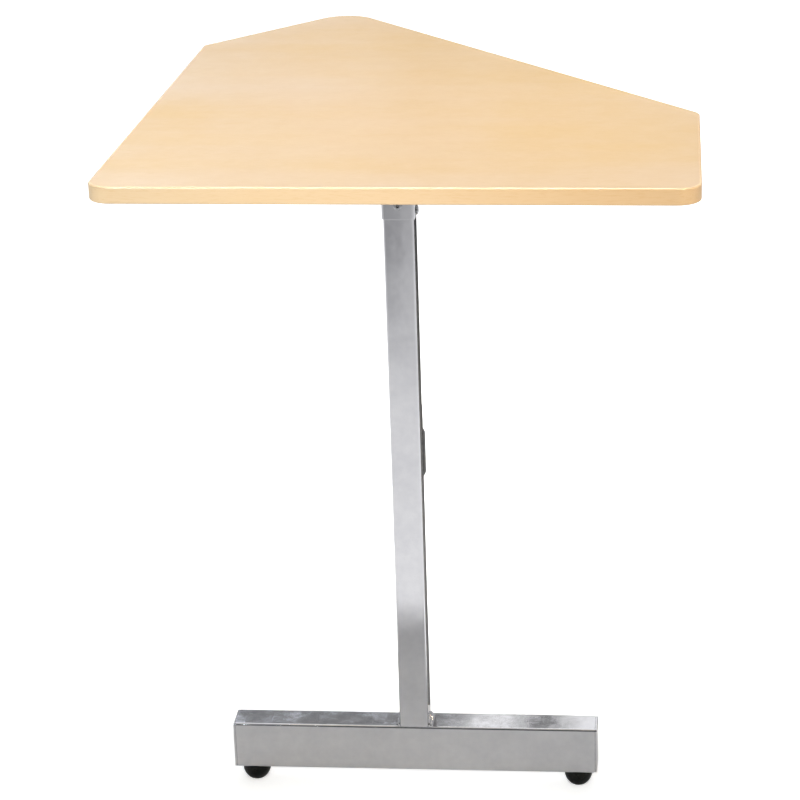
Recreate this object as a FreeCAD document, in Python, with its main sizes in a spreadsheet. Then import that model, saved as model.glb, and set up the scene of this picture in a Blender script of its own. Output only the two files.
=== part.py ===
"""Single-column ward table: five-sided laminated top, square post, straight foot bar, screw glides.

Row frame: millimetres, origin in the middle of the table's footprint on the floor,
+X to the user's right, -Y towards the user (the long straight front edge), +Z up.
"""
import FreeCAD, Part
import math
import os
import Sketcher

Vector = FreeCAD.Vector
Rotation = FreeCAD.Rotation

# Driving dimensions: alias, value in mm (or a plain count), what it sets.
SIZES = [
    ("top_width", 620, "tabletop, left edge to right edge"),
    ("top_depth", 855, "tabletop, front edge to the rounded peak at the back"),
    ("top_height", 855, "floor to the writing surface"),
    ("top_thickness", 18, "finished board"),
    ("left_side", 670, "length of the long left edge, corner to corner"),
    ("right_side", 315, "length of the short right edge, corner to corner"),
    ("peak_left", 149, "centre of the peak's rounding, left of the middle"),
    ("peak_radius", 40, "rounding of the peak"),
    ("front_radius", 25, "rounding of the two front corners"),
    ("left_back_radius", 6, "rounding of the left back corner"),
    ("right_back_radius", 15, "rounding of the right back corner"),
    ("laminate", 0.8, "decorative laminate above, balancing laminate below"),
    ("band", 2, "plastic edge band"),
    ("band_round", 1.9, "rounding of the band's two arrises"),
    ("foot_left", 30, "centre of the foot bar, left of the middle"),
    ("foot_front", 87.5, "centre of the foot bar, in front of the middle"),
    ("bar_length", 450, "foot bar over its end caps"),
    ("bar_depth", 40, "foot bar tube"),
    ("bar_height", 60, "foot bar tube"),
    ("bar_radius", 3, "outer corner of the foot bar tube"),
    ("cap", 3, "end cap plate"),
    ("post", 35, "square column tube"),
    ("post_radius", 2.6, "outer corner of the column tube"),
    ("wall", 2, "wall of both tubes"),
    ("inside_radius", 1, "inner corner of both tubes"),
    ("weld_run", 6, "column weld, leg along the bar"),
    ("weld_rise", 5, "column weld, leg up the column"),
    ("weld_back", 2.4, "column weld behind, leg along the bar"),
    ("plate_width", 240, "mounting plate under the top"),
    ("plate_depth", 340, "mounting plate under the top"),
    ("plate", 5, "mounting plate thickness"),
    ("plate_radius", 15, "mounting plate corners"),
    ("socket_drop", 108, "underside of the top to the lower rim of the socket"),
    ("socket_wall", 1.5, "socket tube"),
    ("socket_play", 0.15, "socket to column, each side"),
    ("post_gap", 4, "top of the column to the mounting plate"),
    ("socket_weld", 4, "weld between socket and plate, both legs"),
    ("gusset", 4, "gusset plate thickness"),
    ("gusset_leg", 62, "gusset, along the plate and down the socket"),
    ("gusset_toe", 8, "blunt ends of a gusset"),
    ("gusset_snip", 7, "gusset's inner corner, cut off to clear the weld"),
    ("wood_screw_radius", 2.2, "wood screw shank"),
    ("wood_screw_length", 13, "wood screw below its head, into the board"),
    ("wood_tip", 4.4, "wood screw point, part of that length"),
    ("wood_tip_radius", 0.4, "blunt end of that point"),
    ("wood_head_radius", 4.6, "wood screw head"),
    ("wood_head", 2.4, "wood screw head"),
    ("screw_margin", 20, "wood screw centres in from the plate's edges"),
    ("screws_per_side", 4, "wood screws along each long edge of the plate, a count"),
    ("machine_radius", 3, "M6 screws"),
    ("machine_length", 11, "M6 screws, under the head"),
    ("machine_head_radius", 5, "M6 button head"),
    ("machine_head", 2.6, "M6 button head"),
    ("head_round", 1.4, "rounding of the button head"),
    ("key", 3.4, "hexagon key recess across flats"),
    ("key_depth", 1.6, "hexagon key recess"),
    ("front_screw_rise", 17, "front clamping screw above the socket's rim"),
    ("side_screw_rise", 7, "side clamping screw above the socket's rim"),
    ("machine_nut", 10, "M6 weld nut across flats"),
    ("machine_nut_height", 5, "M6 weld nut"),
    ("play", 0.05, "screws and studs in their bores, each side"),
    ("hole_play", 0.3, "screws in clearance holes, each side"),
    ("glide_height", 22, "floor to the underside of the foot bar"),
    ("glide_inset", 24, "glide centre in from the end of the foot bar"),
    ("glide_radius", 17.5, "rim of a glide"),
    ("glide_pad", 10, "flat pad under a glide, radius"),
    ("glide_rim", 5, "straight rim of a glide"),
    ("glide_gap", 1, "glide's rim to the foot bar when screwed home"),
    ("recess_radius", 10, "recess in the top of a glide"),
    ("recess_floor", 11, "floor of that recess above the ground"),
    ("stud_radius", 4, "M8 glide stud"),
    ("stud_top", 52, "top of the stud above the ground"),
    ("foot_flange_radius", 5.5, "stud's foot, held inside the glide"),
    ("foot_flange", 3, "stud's foot"),
    ("foot_flange_rise", 5, "underside of the stud's foot above the ground"),
    ("hex_flats", 11, "stud's hexagon across flats"),
    ("hex_rise", 11.3, "underside of the stud's hexagon above the ground"),
    ("hex_height", 4, "stud's hexagon"),
    ("lock_nut", 13, "lock nut across flats"),
    ("lock_nut_height", 4, "thin lock nut"),
    ("bush_radius", 7, "threaded bush welded into the foot bar"),
    ("bush_flange_radius", 9.5, "its flange inside the bar"),
    ("bush_flange", 2, "its flange inside the bar"),
    ("bush_length", 18, "threaded bush, from the bar's underside up"),
    ("bracket", 3, "rear bracket plate"),
    ("bracket_width", 40, "rear bracket across its two ears"),
    ("bracket_low", 401, "rear bracket's lower end above the floor"),
    ("bracket_high", 491, "rear bracket's upper end above the floor"),
    ("right_ear_top", 462, "top of the right ear above the floor"),
    ("left_ear_low", 448, "bottom of the left ear above the floor"),
    ("ear_slope", 5, "sloping ends of the ears"),
    ("bracket_pitch", 50, "between the bracket's two threaded holes"),
    ("insert_bore", 3, "M6 rivet nut bore"),
    ("insert_radius", 4.5, "M6 rivet nut sleeve"),
    ("insert_length", 15, "M6 rivet nut, behind its flange"),
    ("insert_flange_radius", 6.5, "M6 rivet nut flange"),
    ("insert_flange", 1, "M6 rivet nut flange"),
]

doc = FreeCAD.newDocument("ward_table")
sheet = doc.addObject("Spreadsheet::Sheet", "Size")
for row, (alias, value, meaning) in enumerate(SIZES, start=1):
    sheet.set(f"A{row}", alias)
    sheet.set(f"B{row}", str(value))
    sheet.setAlias(f"B{row}", alias)
    sheet.set(f"C{row}", meaning)
doc.recompute()
size = {alias: float(sheet.get(alias)) for alias, _, _ in SIZES}

# Places worked out from the sizes, as formulas that more than one piece uses.
FOOT_X = "-Size.foot_left"
FOOT_Y = "-Size.foot_front"
POST_Y = "-Size.foot_front - Size.bar_depth / 2 + Size.post / 2"
BAR_TOP = "Size.glide_height + Size.bar_height"
UNDERSIDE = "Size.top_height - Size.top_thickness"
PLATE_LOW = "Size.top_height - Size.top_thickness - Size.plate"
SOCKET_LOW = "Size.top_height - Size.top_thickness - Size.socket_drop"
SOCKET_OUTER = "Size.post + 2 * Size.socket_play + 2 * Size.socket_wall"
BRACKET_MIDDLE = "(Size.bracket_low + Size.bracket_high) / 2"
GLIDE_REACH = "(Size.bar_length / 2 - Size.glide_inset)"
SCREW_REACH = "Size.socket_wall + Size.socket_play + 1.5 * Size.wall"
UP = Vector(0, 0, 1)
ALONG_X = Vector(1, 0, 0)

TINY = 1e-6

TURN_TO_X = Rotation(Vector(0, 1, 0), 90)
TURN_TO_Y = Rotation(Vector(1, 0, 0), -90)
TURN_TO_FRONT = Rotation(Vector(1, 0, 0), 90)
NO_TURN = Rotation()

subparts = []


def bind(item, formulas):
    """Bind properties of an object to formulas of the size sheet."""
    for prop, formula in formulas.items():
        item.setExpression(prop, formula)
    return item


def place(item, x="0", y="0", z="0", turn=NO_TURN):
    """Put an object at a place given by three formulas, after a fixed turn."""
    item.Placement = FreeCAD.Placement(Vector(0, 0, 0), turn)
    return bind(item, {".Placement.Base.x": x, ".Placement.Base.y": y, ".Placement.Base.z": z})


def finish(item, node):
    """Name an object as one of the table's separate pieces."""
    item.Label = node
    subparts.append(item)
    return item


def cylinder(name, radius, height, x="0", y="0", z="0", turn=NO_TURN):
    rod = doc.addObject("Part::Cylinder", name)
    bind(rod, {"Radius": radius, "Height": height})
    return place(rod, x, y, z, turn)


def hexagon(name, flats, height, x="0", y="0", z="0", turn=NO_TURN):
    prism = doc.addObject("Part::Prism", name)
    prism.Polygon = 6
    bind(prism, {"Circumradius": f"({flats}) / sqrt(3)", "Height": height})
    return place(prism, x, y, z, turn)


def fuse(name, items):
    union = doc.addObject("Part::MultiFuse", name)
    union.Shapes = items
    return union


def group(name, items):
    compound = doc.addObject("Part::Compound", name)
    compound.Links = items
    return compound


def cut(name, base, tools):
    """Base less every tool; several tools are fused first."""
    difference = doc.addObject("Part::Cut", name)
    difference.Base = base
    difference.Tool = tools[0] if len(tools) == 1 else fuse(name + "_tools", tools)
    return difference


def origin_plane(body, role):
    return next(feature for feature in body.Origin.OriginFeatures if feature.Role == role)


def new_sketch(body, name, role):
    sketch = body.newObject("Sketcher::SketchObject", name)
    sketch.AttachmentSupport = [(origin_plane(body, role), "")]
    sketch.MapMode = "FlatFace"
    return sketch


def closed_polygon(sketch, points):
    """Straight lines through the points; returns the index of the first one."""
    corners = [Vector(x, y, 0) for x, y in points]
    lines = [Part.LineSegment(a, b) for a, b in zip(corners, corners[1:] + corners[:1])]
    first = sketch.addGeometry(lines, False)[0]
    count = len(lines)
    for i in range(count):
        sketch.addConstraint(Sketcher.Constraint("Coincident", first + i, 2, first + (i + 1) % count, 1))
    return first


def drive(sketch, kind, refs, formula):
    """Add a dimension to a sketch and bind it to a formula of the size sheet."""
    index = sketch.addConstraint(Sketcher.Constraint(kind, *refs))
    sketch.setExpression(f"Constraints[{index}]", formula)


def rectangle(sketch, width, depth, start_width, start_depth):
    """Rectangle centred on the sketch's origin."""
    w, d = start_width / 2, start_depth / 2
    first = closed_polygon(sketch, [(-w, -d), (w, -d), (w, d), (-w, d)])
    for line, kind in enumerate(("Horizontal", "Vertical", "Horizontal", "Vertical")):
        sketch.addConstraint(Sketcher.Constraint(kind, first + line))
    sketch.addConstraint(Sketcher.Constraint("Symmetric", first, 1, first + 2, 1, -1, 1))
    drive(sketch, "DistanceX", (first, 1, first, 2, start_width), width)
    drive(sketch, "DistanceY", (first + 1, 1, first + 1, 2, start_depth), depth)


def edges_along(shape, direction):
    """Names of a shape's straight edges along a direction, for a fillet."""
    names = []
    for number, edge in enumerate(shape.Edges, start=1):
        run = edge.Vertexes[-1].Point - edge.Vertexes[0].Point
        if run.Length > 0 and run.normalize().cross(direction).Length < TINY:
            names.append(f"Edge{number}")
    return names


def soften(body, base, names, radius):
    doc.recompute()
    fillet = body.newObject("PartDesign::Fillet", base.Name + "_round")
    fillet.Base = (base, names)
    bind(fillet, {"Radius": radius})
    return fillet


def bar_body(name, role, direction, width, depth, length, radius, starts):
    """Solid bar with rounded long edges: section centred on the origin, length along direction."""
    body = doc.addObject("PartDesign::Body", name)
    section = new_sketch(body, name + "_section", role)
    rectangle(section, width, depth, *starts)
    pad = body.newObject("PartDesign::Pad", name + "_pad")
    pad.Profile = section
    bind(pad, {"Length": length})
    doc.recompute()
    soften(body, pad, edges_along(pad.Shape, direction), radius)
    return body


def tube(name, role, direction, width, depth, length, radius, starts):
    """Rectangular tube: one rounded bar less a smaller one."""
    outer = bar_body(name + "_outside", role, direction, width, depth, length, radius, starts)
    inner_starts = [start - 2 * size["wall"] for start in starts]
    inner = bar_body(name + "_inside", role, direction, f"({width}) - 2 * Size.wall",
                     f"({depth}) - 2 * Size.wall", length, "Size.inside_radius", inner_starts)
    return outer, inner


# ---------------------------------------------------------------- tabletop

def toward(angle):
    return Vector(math.cos(angle), math.sin(angle), 0)


def tangent_angle(corner, centre, radius, side):
    """Direction from a corner that just touches a circle, passing it on one side."""
    run = centre - corner
    return math.atan2(run.y, run.x) + side * math.asin(radius / run.Length)


def corner_arc(vertex, angle_in, angle_out, radius):
    """Arc that rounds a convex corner of an anticlockwise outline."""
    start = vertex - toward(angle_in) * radius * math.tan((angle_out - angle_in) / 2)
    centre = start + toward(angle_in + math.pi / 2) * radius
    return Part.ArcOfCircle(Part.Circle(centre, Vector(0, 0, 1), radius),
                            angle_in - math.pi / 2, angle_out - math.pi / 2)


def top_outline():
    """Five straight edges and five tangent arcs, anticlockwise from the front edge."""
    half_x, half_y = size["top_width"] / 2, size["top_depth"] / 2
    front_left, front_right = Vector(-half_x, -half_y, 0), Vector(half_x, -half_y, 0)
    back_right = Vector(half_x, size["right_side"] - half_y, 0)
    back_left = Vector(-half_x, size["left_side"] - half_y, 0)
    peak = Vector(-size["peak_left"], half_y - size["peak_radius"], 0)
    up_left = tangent_angle(back_right, peak, size["peak_radius"], -1)
    down_left = tangent_angle(back_left, peak, size["peak_radius"], 1) + math.pi
    quarter = math.pi / 2
    arcs = [
        corner_arc(front_right, 0, quarter, size["front_radius"]),
        corner_arc(back_right, quarter, up_left, size["right_back_radius"]),
        Part.ArcOfCircle(Part.Circle(peak, Vector(0, 0, 1), size["peak_radius"]),
                         up_left - quarter, down_left - quarter),
        corner_arc(back_left, down_left, 3 * quarter, size["left_back_radius"]),
        corner_arc(front_left, 3 * quarter, 4 * quarter, size["front_radius"]),
    ]
    lines = [Part.LineSegment(arcs[i - 1].EndPoint, arcs[i].StartPoint) for i in range(5)]
    sketch = doc.addObject("Sketcher::SketchObject", "top_outline")
    sketch.addGeometry(lines + arcs, False)
    for i in range(5):
        sketch.addConstraint(Sketcher.Constraint("Tangent", i, 2, 5 + i, 1))
        sketch.addConstraint(Sketcher.Constraint("Tangent", 5 + i, 2, (i + 1) % 5, 1))
    front, right, slope_right, slope_left, left = range(5)
    sketch.addConstraint(Sketcher.Constraint("Horizontal", front))
    sketch.addConstraint(Sketcher.Constraint("Vertical", right))
    sketch.addConstraint(Sketcher.Constraint("Vertical", left))
    drive(sketch, "DistanceY", (front, 1, -1, 1, half_y), "Size.top_depth / 2")
    drive(sketch, "DistanceX", (-1, 1, right, 1, half_x), "Size.top_width / 2")
    drive(sketch, "DistanceX", (left, 1, -1, 1, half_x), "Size.top_width / 2")
    radii = ("front_radius", "right_back_radius", "peak_radius", "left_back_radius", "front_radius")
    for i, radius in enumerate(radii):
        drive(sketch, "Radius", (5 + i, size[radius]), f"Size.{radius}")
    drive(sketch, "DistanceX", (7, 3, -1, 1, size["peak_left"]), "Size.peak_left")
    drive(sketch, "DistanceY", (-1, 1, 7, 3, peak.y), "Size.top_depth / 2 - Size.peak_radius")
    for vertex, edge, slope, length in ((back_right, right, slope_right, "right_side"),
                                        (back_left, left, slope_left, "left_side")):
        point = sketch.addGeometry(Part.Point(vertex), True)
        sketch.addConstraint(Sketcher.Constraint("PointOnObject", point, 1, edge))
        sketch.addConstraint(Sketcher.Constraint("PointOnObject", point, 1, slope))
        drive(sketch, "DistanceY", (front, 1, point, 1, size[length]), f"Size.{length}")
    return sketch


def slab(name, outline, height, z):
    """Upright extrusion of an outline."""
    block = doc.addObject("Part::Extrusion", name)
    block.Base = outline
    block.DirMode = "Custom"
    block.Dir = Vector(0, 0, 1)
    block.Solid = True
    bind(block, {"LengthFwd": height})
    return place(block, z=z)


def wood_screw_places():
    """Formulas for the wood screws: one row along each long edge of the plate."""
    half_x = "(Size.plate_width / 2 - Size.screw_margin)"
    half_y = "(Size.plate_depth / 2 - Size.screw_margin)"
    count = round(size["screws_per_side"])
    for side in (-1, 1):
        for i in range(count):
            yield (f"{FOOT_X} + {side} * {half_x}",
                   f"{POST_Y} + {half_y} * (2 * {i} / (Size.screws_per_side - 1) - 1)")


def pilot_holes(name, height, z):
    radius = "Size.wood_screw_radius + Size.play"
    return [cylinder(f"{name}{i}", radius, height, x, y, z) for i, (x, y) in enumerate(wood_screw_places())]


def build_tabletop():
    outline = top_outline()
    inner = doc.addObject("Part::Offset2D", "core_outline")
    inner.Source = outline
    inner.Join = "Intersection"
    bind(inner, {"Value": "-Size.band"})
    doc.recompute()

    backing = slab("backing_blank", inner, "Size.laminate", UNDERSIDE)
    finish(cut("backing", backing, pilot_holes("backing_hole", "Size.laminate", UNDERSIDE)),
           "backing_laminate")

    core_low = f"{UNDERSIDE} + Size.laminate"
    core = slab("core_blank", inner, "Size.top_thickness - 2 * Size.laminate", core_low)
    depth = "Size.wood_screw_length - Size.plate - Size.laminate + Size.play"
    finish(cut("core", core, pilot_holes("core_hole", depth, core_low)), "top_core")

    finish(slab("surface", inner, "Size.laminate", "Size.top_height - Size.laminate"), "top_laminate")

    rim = slab("rim_blank", outline, "Size.top_thickness", UNDERSIDE)
    doc.recompute()
    low, high = size["top_height"] - size["top_thickness"], size["top_height"]
    arrises = [number for number, edge in enumerate(rim.Shape.Edges, start=1)
               if min(abs(edge.CenterOfMass.z - low), abs(edge.CenterOfMass.z - high)) < TINY]
    rounded = doc.addObject("Part::Fillet", "rim_round")
    rounded.Base = rim
    rounded.Edges = [(number, size["band_round"], size["band_round"]) for number in arrises]
    opening = slab("rim_opening", inner, "Size.top_thickness", UNDERSIDE)
    finish(cut("rim", rounded, [opening]), "edge_band")


# ---------------------------------------------------------------- under the top

def build_mounting_plate():
    body = bar_body("plate_blank", "XY_Plane", UP, "Size.plate_width", "Size.plate_depth",
                    "Size.plate", "Size.plate_radius", (size["plate_width"], size["plate_depth"]))
    place(body, FOOT_X, POST_Y, PLATE_LOW)
    radius = "Size.wood_screw_radius + Size.hole_play"
    holes = [cylinder(f"plate_hole{i}", radius, "Size.plate", x, y, PLATE_LOW)
             for i, (x, y) in enumerate(wood_screw_places())]
    finish(cut("plate_drilled", body, holes), "mounting_plate")


def build_top_screws():
    screws = []
    for i, (x, y) in enumerate(wood_screw_places()):
        head = cylinder(f"wood_head{i}", "Size.wood_head_radius", "Size.wood_head", x, y,
                        f"{PLATE_LOW} - Size.wood_head")
        shank = cylinder(f"wood_shank{i}", "Size.wood_screw_radius",
                         "Size.wood_screw_length - Size.wood_tip", x, y, PLATE_LOW)
        point = doc.addObject("Part::Cone", f"wood_point{i}")
        bind(point, {"Radius1": "Size.wood_screw_radius", "Radius2": "Size.wood_tip_radius",
                     "Height": "Size.wood_tip"})
        place(point, x, y, f"{PLATE_LOW} + Size.wood_screw_length - Size.wood_tip")
        driver = hexagon(f"wood_key{i}", "Size.key", "Size.key_depth", x, y, f"{PLATE_LOW} - Size.wood_head")
        screws.append(cut(f"wood_screw{i}", fuse(f"wood_body{i}", [head, shank, point]), [driver]))
    finish(group("wood_screws", screws), "top_screws")


def clamping_holes(name):
    """Clearance holes for the two clamping screws, through the socket and the column's wall."""
    radius = "Size.machine_radius + Size.hole_play"
    return [cylinder(name + "_front", radius, SCREW_REACH, FOOT_X, f"{POST_Y} - ({SOCKET_OUTER}) / 2",
                     f"{SOCKET_LOW} + Size.front_screw_rise", TURN_TO_Y),
            cylinder(name + "_side", radius, SCREW_REACH, f"{FOOT_X} + ({SOCKET_OUTER}) / 2 - ({SCREW_REACH})",
                     POST_Y, f"{SOCKET_LOW} + Size.side_screw_rise", TURN_TO_X)]


def build_socket():
    length = "Size.socket_drop - Size.plate"
    inner_start = size["post"] + 2 * size["socket_play"]
    outer_start = inner_start + 2 * size["socket_wall"]
    outer = bar_body("socket_outside", "XY_Plane", UP, SOCKET_OUTER, SOCKET_OUTER, length,
                     "Size.post_radius + Size.socket_wall", (outer_start, outer_start))
    inner_width = "Size.post + 2 * Size.socket_play"
    inner = bar_body("socket_inside", "XY_Plane", UP, inner_width, inner_width, length,
                     "Size.post_radius", (inner_start, inner_start))
    for body in (outer, inner):
        place(body, FOOT_X, POST_Y, SOCKET_LOW)
    finish(cut("socket", outer, [inner] + clamping_holes("socket_hole")), "column_socket")


def prism_body(name, role, points, formulas, length):
    """Pad of a polygon whose corners are driven from the sketch's origin by formula pairs."""
    body = doc.addObject("PartDesign::Body", name)
    sketch = new_sketch(body, name + "_outline", role)
    first = closed_polygon(sketch, points)
    for i, ((x, y), (formula_x, formula_y)) in enumerate(zip(points, formulas)):
        for kind, value, formula in (("DistanceX", x, formula_x), ("DistanceY", y, formula_y)):
            if formula == "0":
                straight = {"DistanceX": -2, "DistanceY": -1}[kind]
                sketch.addConstraint(Sketcher.Constraint("PointOnObject", first + i, 1, straight))
            else:
                drive(sketch, kind, (-1, 1, first + i, 1, value), formula)
    pad = body.newObject("PartDesign::Pad", name + "_pad")
    pad.Profile = sketch
    bind(pad, {"Length": length})
    doc.recompute()
    return body


def build_gussets():
    """Four snipped triangles between the socket and the plate, one on each face."""
    leg, toe, snip = size["gusset_leg"], size["gusset_toe"], size["gusset_snip"]
    points = [(snip, 0), (leg, 0), (leg, -toe), (toe, -leg), (0, -leg), (0, -snip)]
    formulas = [("Size.gusset_snip", "0"), ("Size.gusset_leg", "0"), ("Size.gusset_leg", "-Size.gusset_toe"),
                ("Size.gusset_toe", "-Size.gusset_leg"), ("0", "-Size.gusset_leg"), ("0", "-Size.gusset_snip")]
    reach = f"(({SOCKET_OUTER}) / 2)"
    half = "Size.gusset / 2"
    sides = {
        "right_gusset": (0, f"{FOOT_X} + {reach}", f"{POST_Y} + {half}"),
        "left_gusset": (180, f"{FOOT_X} - {reach}", f"{POST_Y} - {half}"),
        "rear_gusset": (90, f"{FOOT_X} - {half}", f"{POST_Y} + {reach}"),
        "front_gusset": (-90, f"{FOOT_X} + {half}", f"{POST_Y} - {reach}"),
    }
    for node, (angle, x, y) in sides.items():
        body = prism_body(node + "_body", "XZ_Plane", points, formulas, "Size.gusset")
        place(body, x, y, PLATE_LOW, Rotation(Vector(0, 0, 1), angle))
        finish(body, node)


def build_socket_weld():
    """Fillet weld ring where the socket meets the plate: a pyramid frustum less the socket."""
    ring = doc.addObject("Part::Loft", "socket_weld_ring")
    wide = f"{SOCKET_OUTER} + 2 * Size.socket_weld"
    sections = []
    for name, width, z in (("weld_lower_edge", SOCKET_OUTER, f"{PLATE_LOW} - Size.socket_weld"),
                           ("weld_upper_edge", wide, PLATE_LOW)):
        square = doc.addObject("Part::Plane", name)
        bind(square, {"Length": width, "Width": width})
        place(square, f"{FOOT_X} - ({width}) / 2", f"{POST_Y} - ({width}) / 2", z)
        sections.append(square)
    ring.Sections = sections
    ring.Solid = True
    ring.Ruled = True
    hole = doc.addObject("Part::Box", "socket_weld_hole")
    bind(hole, {"Length": SOCKET_OUTER, "Width": SOCKET_OUTER, "Height": "Size.socket_weld"})
    place(hole, f"{FOOT_X} - ({SOCKET_OUTER}) / 2", f"{POST_Y} - ({SOCKET_OUTER}) / 2",
          f"{PLATE_LOW} - Size.socket_weld")
    finish(cut("socket_weld_cut", ring, [hole]), "socket_weld_bead")


def build_machine_screw(node, x, y, z, turn):
    """Button-head screw whose head stands out along the turned Z axis."""
    head = cylinder(node + "_head", "Size.machine_head_radius", "Size.machine_head")
    doc.recompute()
    rim = [number for number, edge in enumerate(head.Shape.Edges, start=1)
           if edge.CenterOfMass.z > size["machine_head"] - TINY]
    rounded = doc.addObject("Part::Fillet", node + "_round")
    rounded.Base = head
    rounded.Edges = [(number, size["head_round"], size["head_round"]) for number in rim]
    shank = cylinder(node + "_shank", "Size.machine_radius", "Size.machine_length",
                     z="-Size.machine_length")
    driver = hexagon(node + "_key", "Size.key", "Size.key_depth",
                     z="Size.machine_head - Size.key_depth")
    screw = cut(node + "_cut", fuse(node + "_body", [rounded, shank]), [driver])
    finish(place(screw, x, y, z, turn), node)


def build_clamping_screws():
    reach = f"({SOCKET_OUTER}) / 2"
    build_machine_screw("socket_front_screw", FOOT_X, f"{POST_Y} - {reach}",
                        f"{SOCKET_LOW} + Size.front_screw_rise", TURN_TO_FRONT)
    build_machine_screw("socket_side_screw", f"{FOOT_X} + {reach}", POST_Y,
                        f"{SOCKET_LOW} + Size.side_screw_rise", TURN_TO_X)


def build_weld_nuts():
    """Hexagon nuts welded inside the column behind the two clamping screws."""
    inside = "(Size.post / 2 - Size.wall)"
    sides = {
        "front_weld_nut": (FOOT_X, f"{POST_Y} - {inside}", f"{SOCKET_LOW} + Size.front_screw_rise", TURN_TO_Y),
        "side_weld_nut": (f"{FOOT_X} + {inside} - Size.machine_nut_height", POST_Y,
                          f"{SOCKET_LOW} + Size.side_screw_rise", TURN_TO_X),
    }
    for node, where in sides.items():
        nut = hexagon(node + "_hex", "Size.machine_nut", "Size.machine_nut_height", *where)
        bore = cylinder(node + "_bore", "Size.machine_radius + Size.play", "Size.machine_nut_height", *where)
        finish(cut(node + "_cut", nut, [bore]), node)


# ---------------------------------------------------------------- column and foot

def bracket_holes(name, radius, length, y):
    """Two bores along Y, one above the other, at the rear bracket."""
    return [cylinder(f"{name}{i}", radius, length, FOOT_X, y,
                     f"{BRACKET_MIDDLE} + {side} * Size.bracket_pitch / 2", TURN_TO_Y)
            for i, side in enumerate((-1, 1))]


def build_column():
    length = f"{PLATE_LOW} - Size.post_gap - ({BAR_TOP})"
    starts = (size["post"], size["post"])
    outer, inner = tube("column", "XY_Plane", UP, "Size.post", "Size.post", length,
                        "Size.post_radius", starts)
    for body in (outer, inner):
        place(body, FOOT_X, POST_Y, BAR_TOP)
    holes = clamping_holes("column_hole") + bracket_holes(
        "column_insert_hole", "Size.insert_radius + Size.play", "2 * Size.wall",
        f"{POST_Y} + Size.post / 2 - 1.5 * Size.wall")
    finish(cut("column", outer, [inner] + holes), "column_tube")


def build_column_welds():
    """Fillet welds on the bar's top along the column's left, right and back faces."""
    half = "Size.post / 2"
    beads = {
        "right_column_weld": ("weld_run", 0, f"{FOOT_X} + {half}", f"{POST_Y} + {half}"),
        "left_column_weld": ("weld_run", 180, f"{FOOT_X} - {half}", f"{POST_Y} - {half}"),
        "rear_column_weld": ("weld_back", 90, f"{FOOT_X} - {half}", f"{POST_Y} + {half}"),
    }
    for node, (leg, angle, x, y) in beads.items():
        points = [(0, 0), (size[leg], 0), (0, size["weld_rise"])]
        formulas = [("0", "0"), (f"Size.{leg}", "0"), ("0", "Size.weld_rise")]
        body = prism_body(node + "_body", "XZ_Plane", points, formulas, "Size.post")
        place(body, x, y, BAR_TOP, Rotation(Vector(0, 0, 1), angle))
        finish(body, node)


def glide_places():
    return {"left": f"{FOOT_X} - {GLIDE_REACH}", "right": f"{FOOT_X} + {GLIDE_REACH}"}


def build_foot_bar():
    length = "Size.bar_length - 2 * Size.cap"
    middle = "Size.glide_height + Size.bar_height / 2"
    outer, inner = tube("bar", "YZ_Plane", ALONG_X, "Size.bar_depth", "Size.bar_height", length,
                        "Size.bar_radius", (size["bar_depth"], size["bar_height"]))
    left_end = f"{FOOT_X} - Size.bar_length / 2"
    for body in (outer, inner):
        place(body, f"{left_end} + Size.cap", FOOT_Y, middle)
    holes = [cylinder(f"bar_hole_{side}", "Size.bush_radius + Size.play", "2 * Size.wall", x, FOOT_Y,
                      "Size.glide_height - Size.wall / 2") for side, x in glide_places().items()]
    finish(cut("bar", outer, [inner] + holes), "foot_bar")
    ends = {"left_end_cap": left_end, "right_end_cap": f"{FOOT_X} + Size.bar_length / 2 - Size.cap"}
    for node, x in ends.items():
        body = bar_body(node + "_body", "YZ_Plane", ALONG_X, "Size.bar_depth", "Size.bar_height",
                        "Size.cap", "Size.bar_radius", (size["bar_depth"], size["bar_height"]))
        finish(place(body, x, FOOT_Y, middle), node)


def build_rear_bracket():
    """Plate on the column's back; its left ear sits higher than its right one."""
    half = size["bracket_width"] / 2
    inset, slope = size["post"] / 2, size["ear_slope"]
    low, high = size["bracket_low"], size["bracket_high"]
    right_top, left_low = size["right_ear_top"], size["left_ear_low"]
    in_x, out_x = "Size.post / 2", "Size.bracket_width / 2"
    points = [(-inset, low), (inset, low), (half, low + slope), (half, right_top - slope), (inset, right_top),
              (inset, high), (-inset, high), (-half, high - slope), (-half, left_low + slope),
              (-inset, left_low)]
    formulas = [(f"-{in_x}", "Size.bracket_low"), (in_x, "Size.bracket_low"),
                (out_x, "Size.bracket_low + Size.ear_slope"), (out_x, "Size.right_ear_top - Size.ear_slope"),
                (in_x, "Size.right_ear_top"), (in_x, "Size.bracket_high"), (f"-{in_x}", "Size.bracket_high"),
                (f"-{out_x}", "Size.bracket_high - Size.ear_slope"),
                (f"-{out_x}", "Size.left_ear_low + Size.ear_slope"), (f"-{in_x}", "Size.left_ear_low")]
    plate = prism_body("bracket_blank", "XZ_Plane", points, formulas, "Size.bracket")
    back = f"{POST_Y} + Size.post / 2"
    place(plate, FOOT_X, f"{back} + Size.bracket")
    holes = bracket_holes("bracket_hole", "Size.insert_radius + Size.play", "Size.bracket", back)
    finish(cut("bracket", plate, holes), "rear_bracket")


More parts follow.
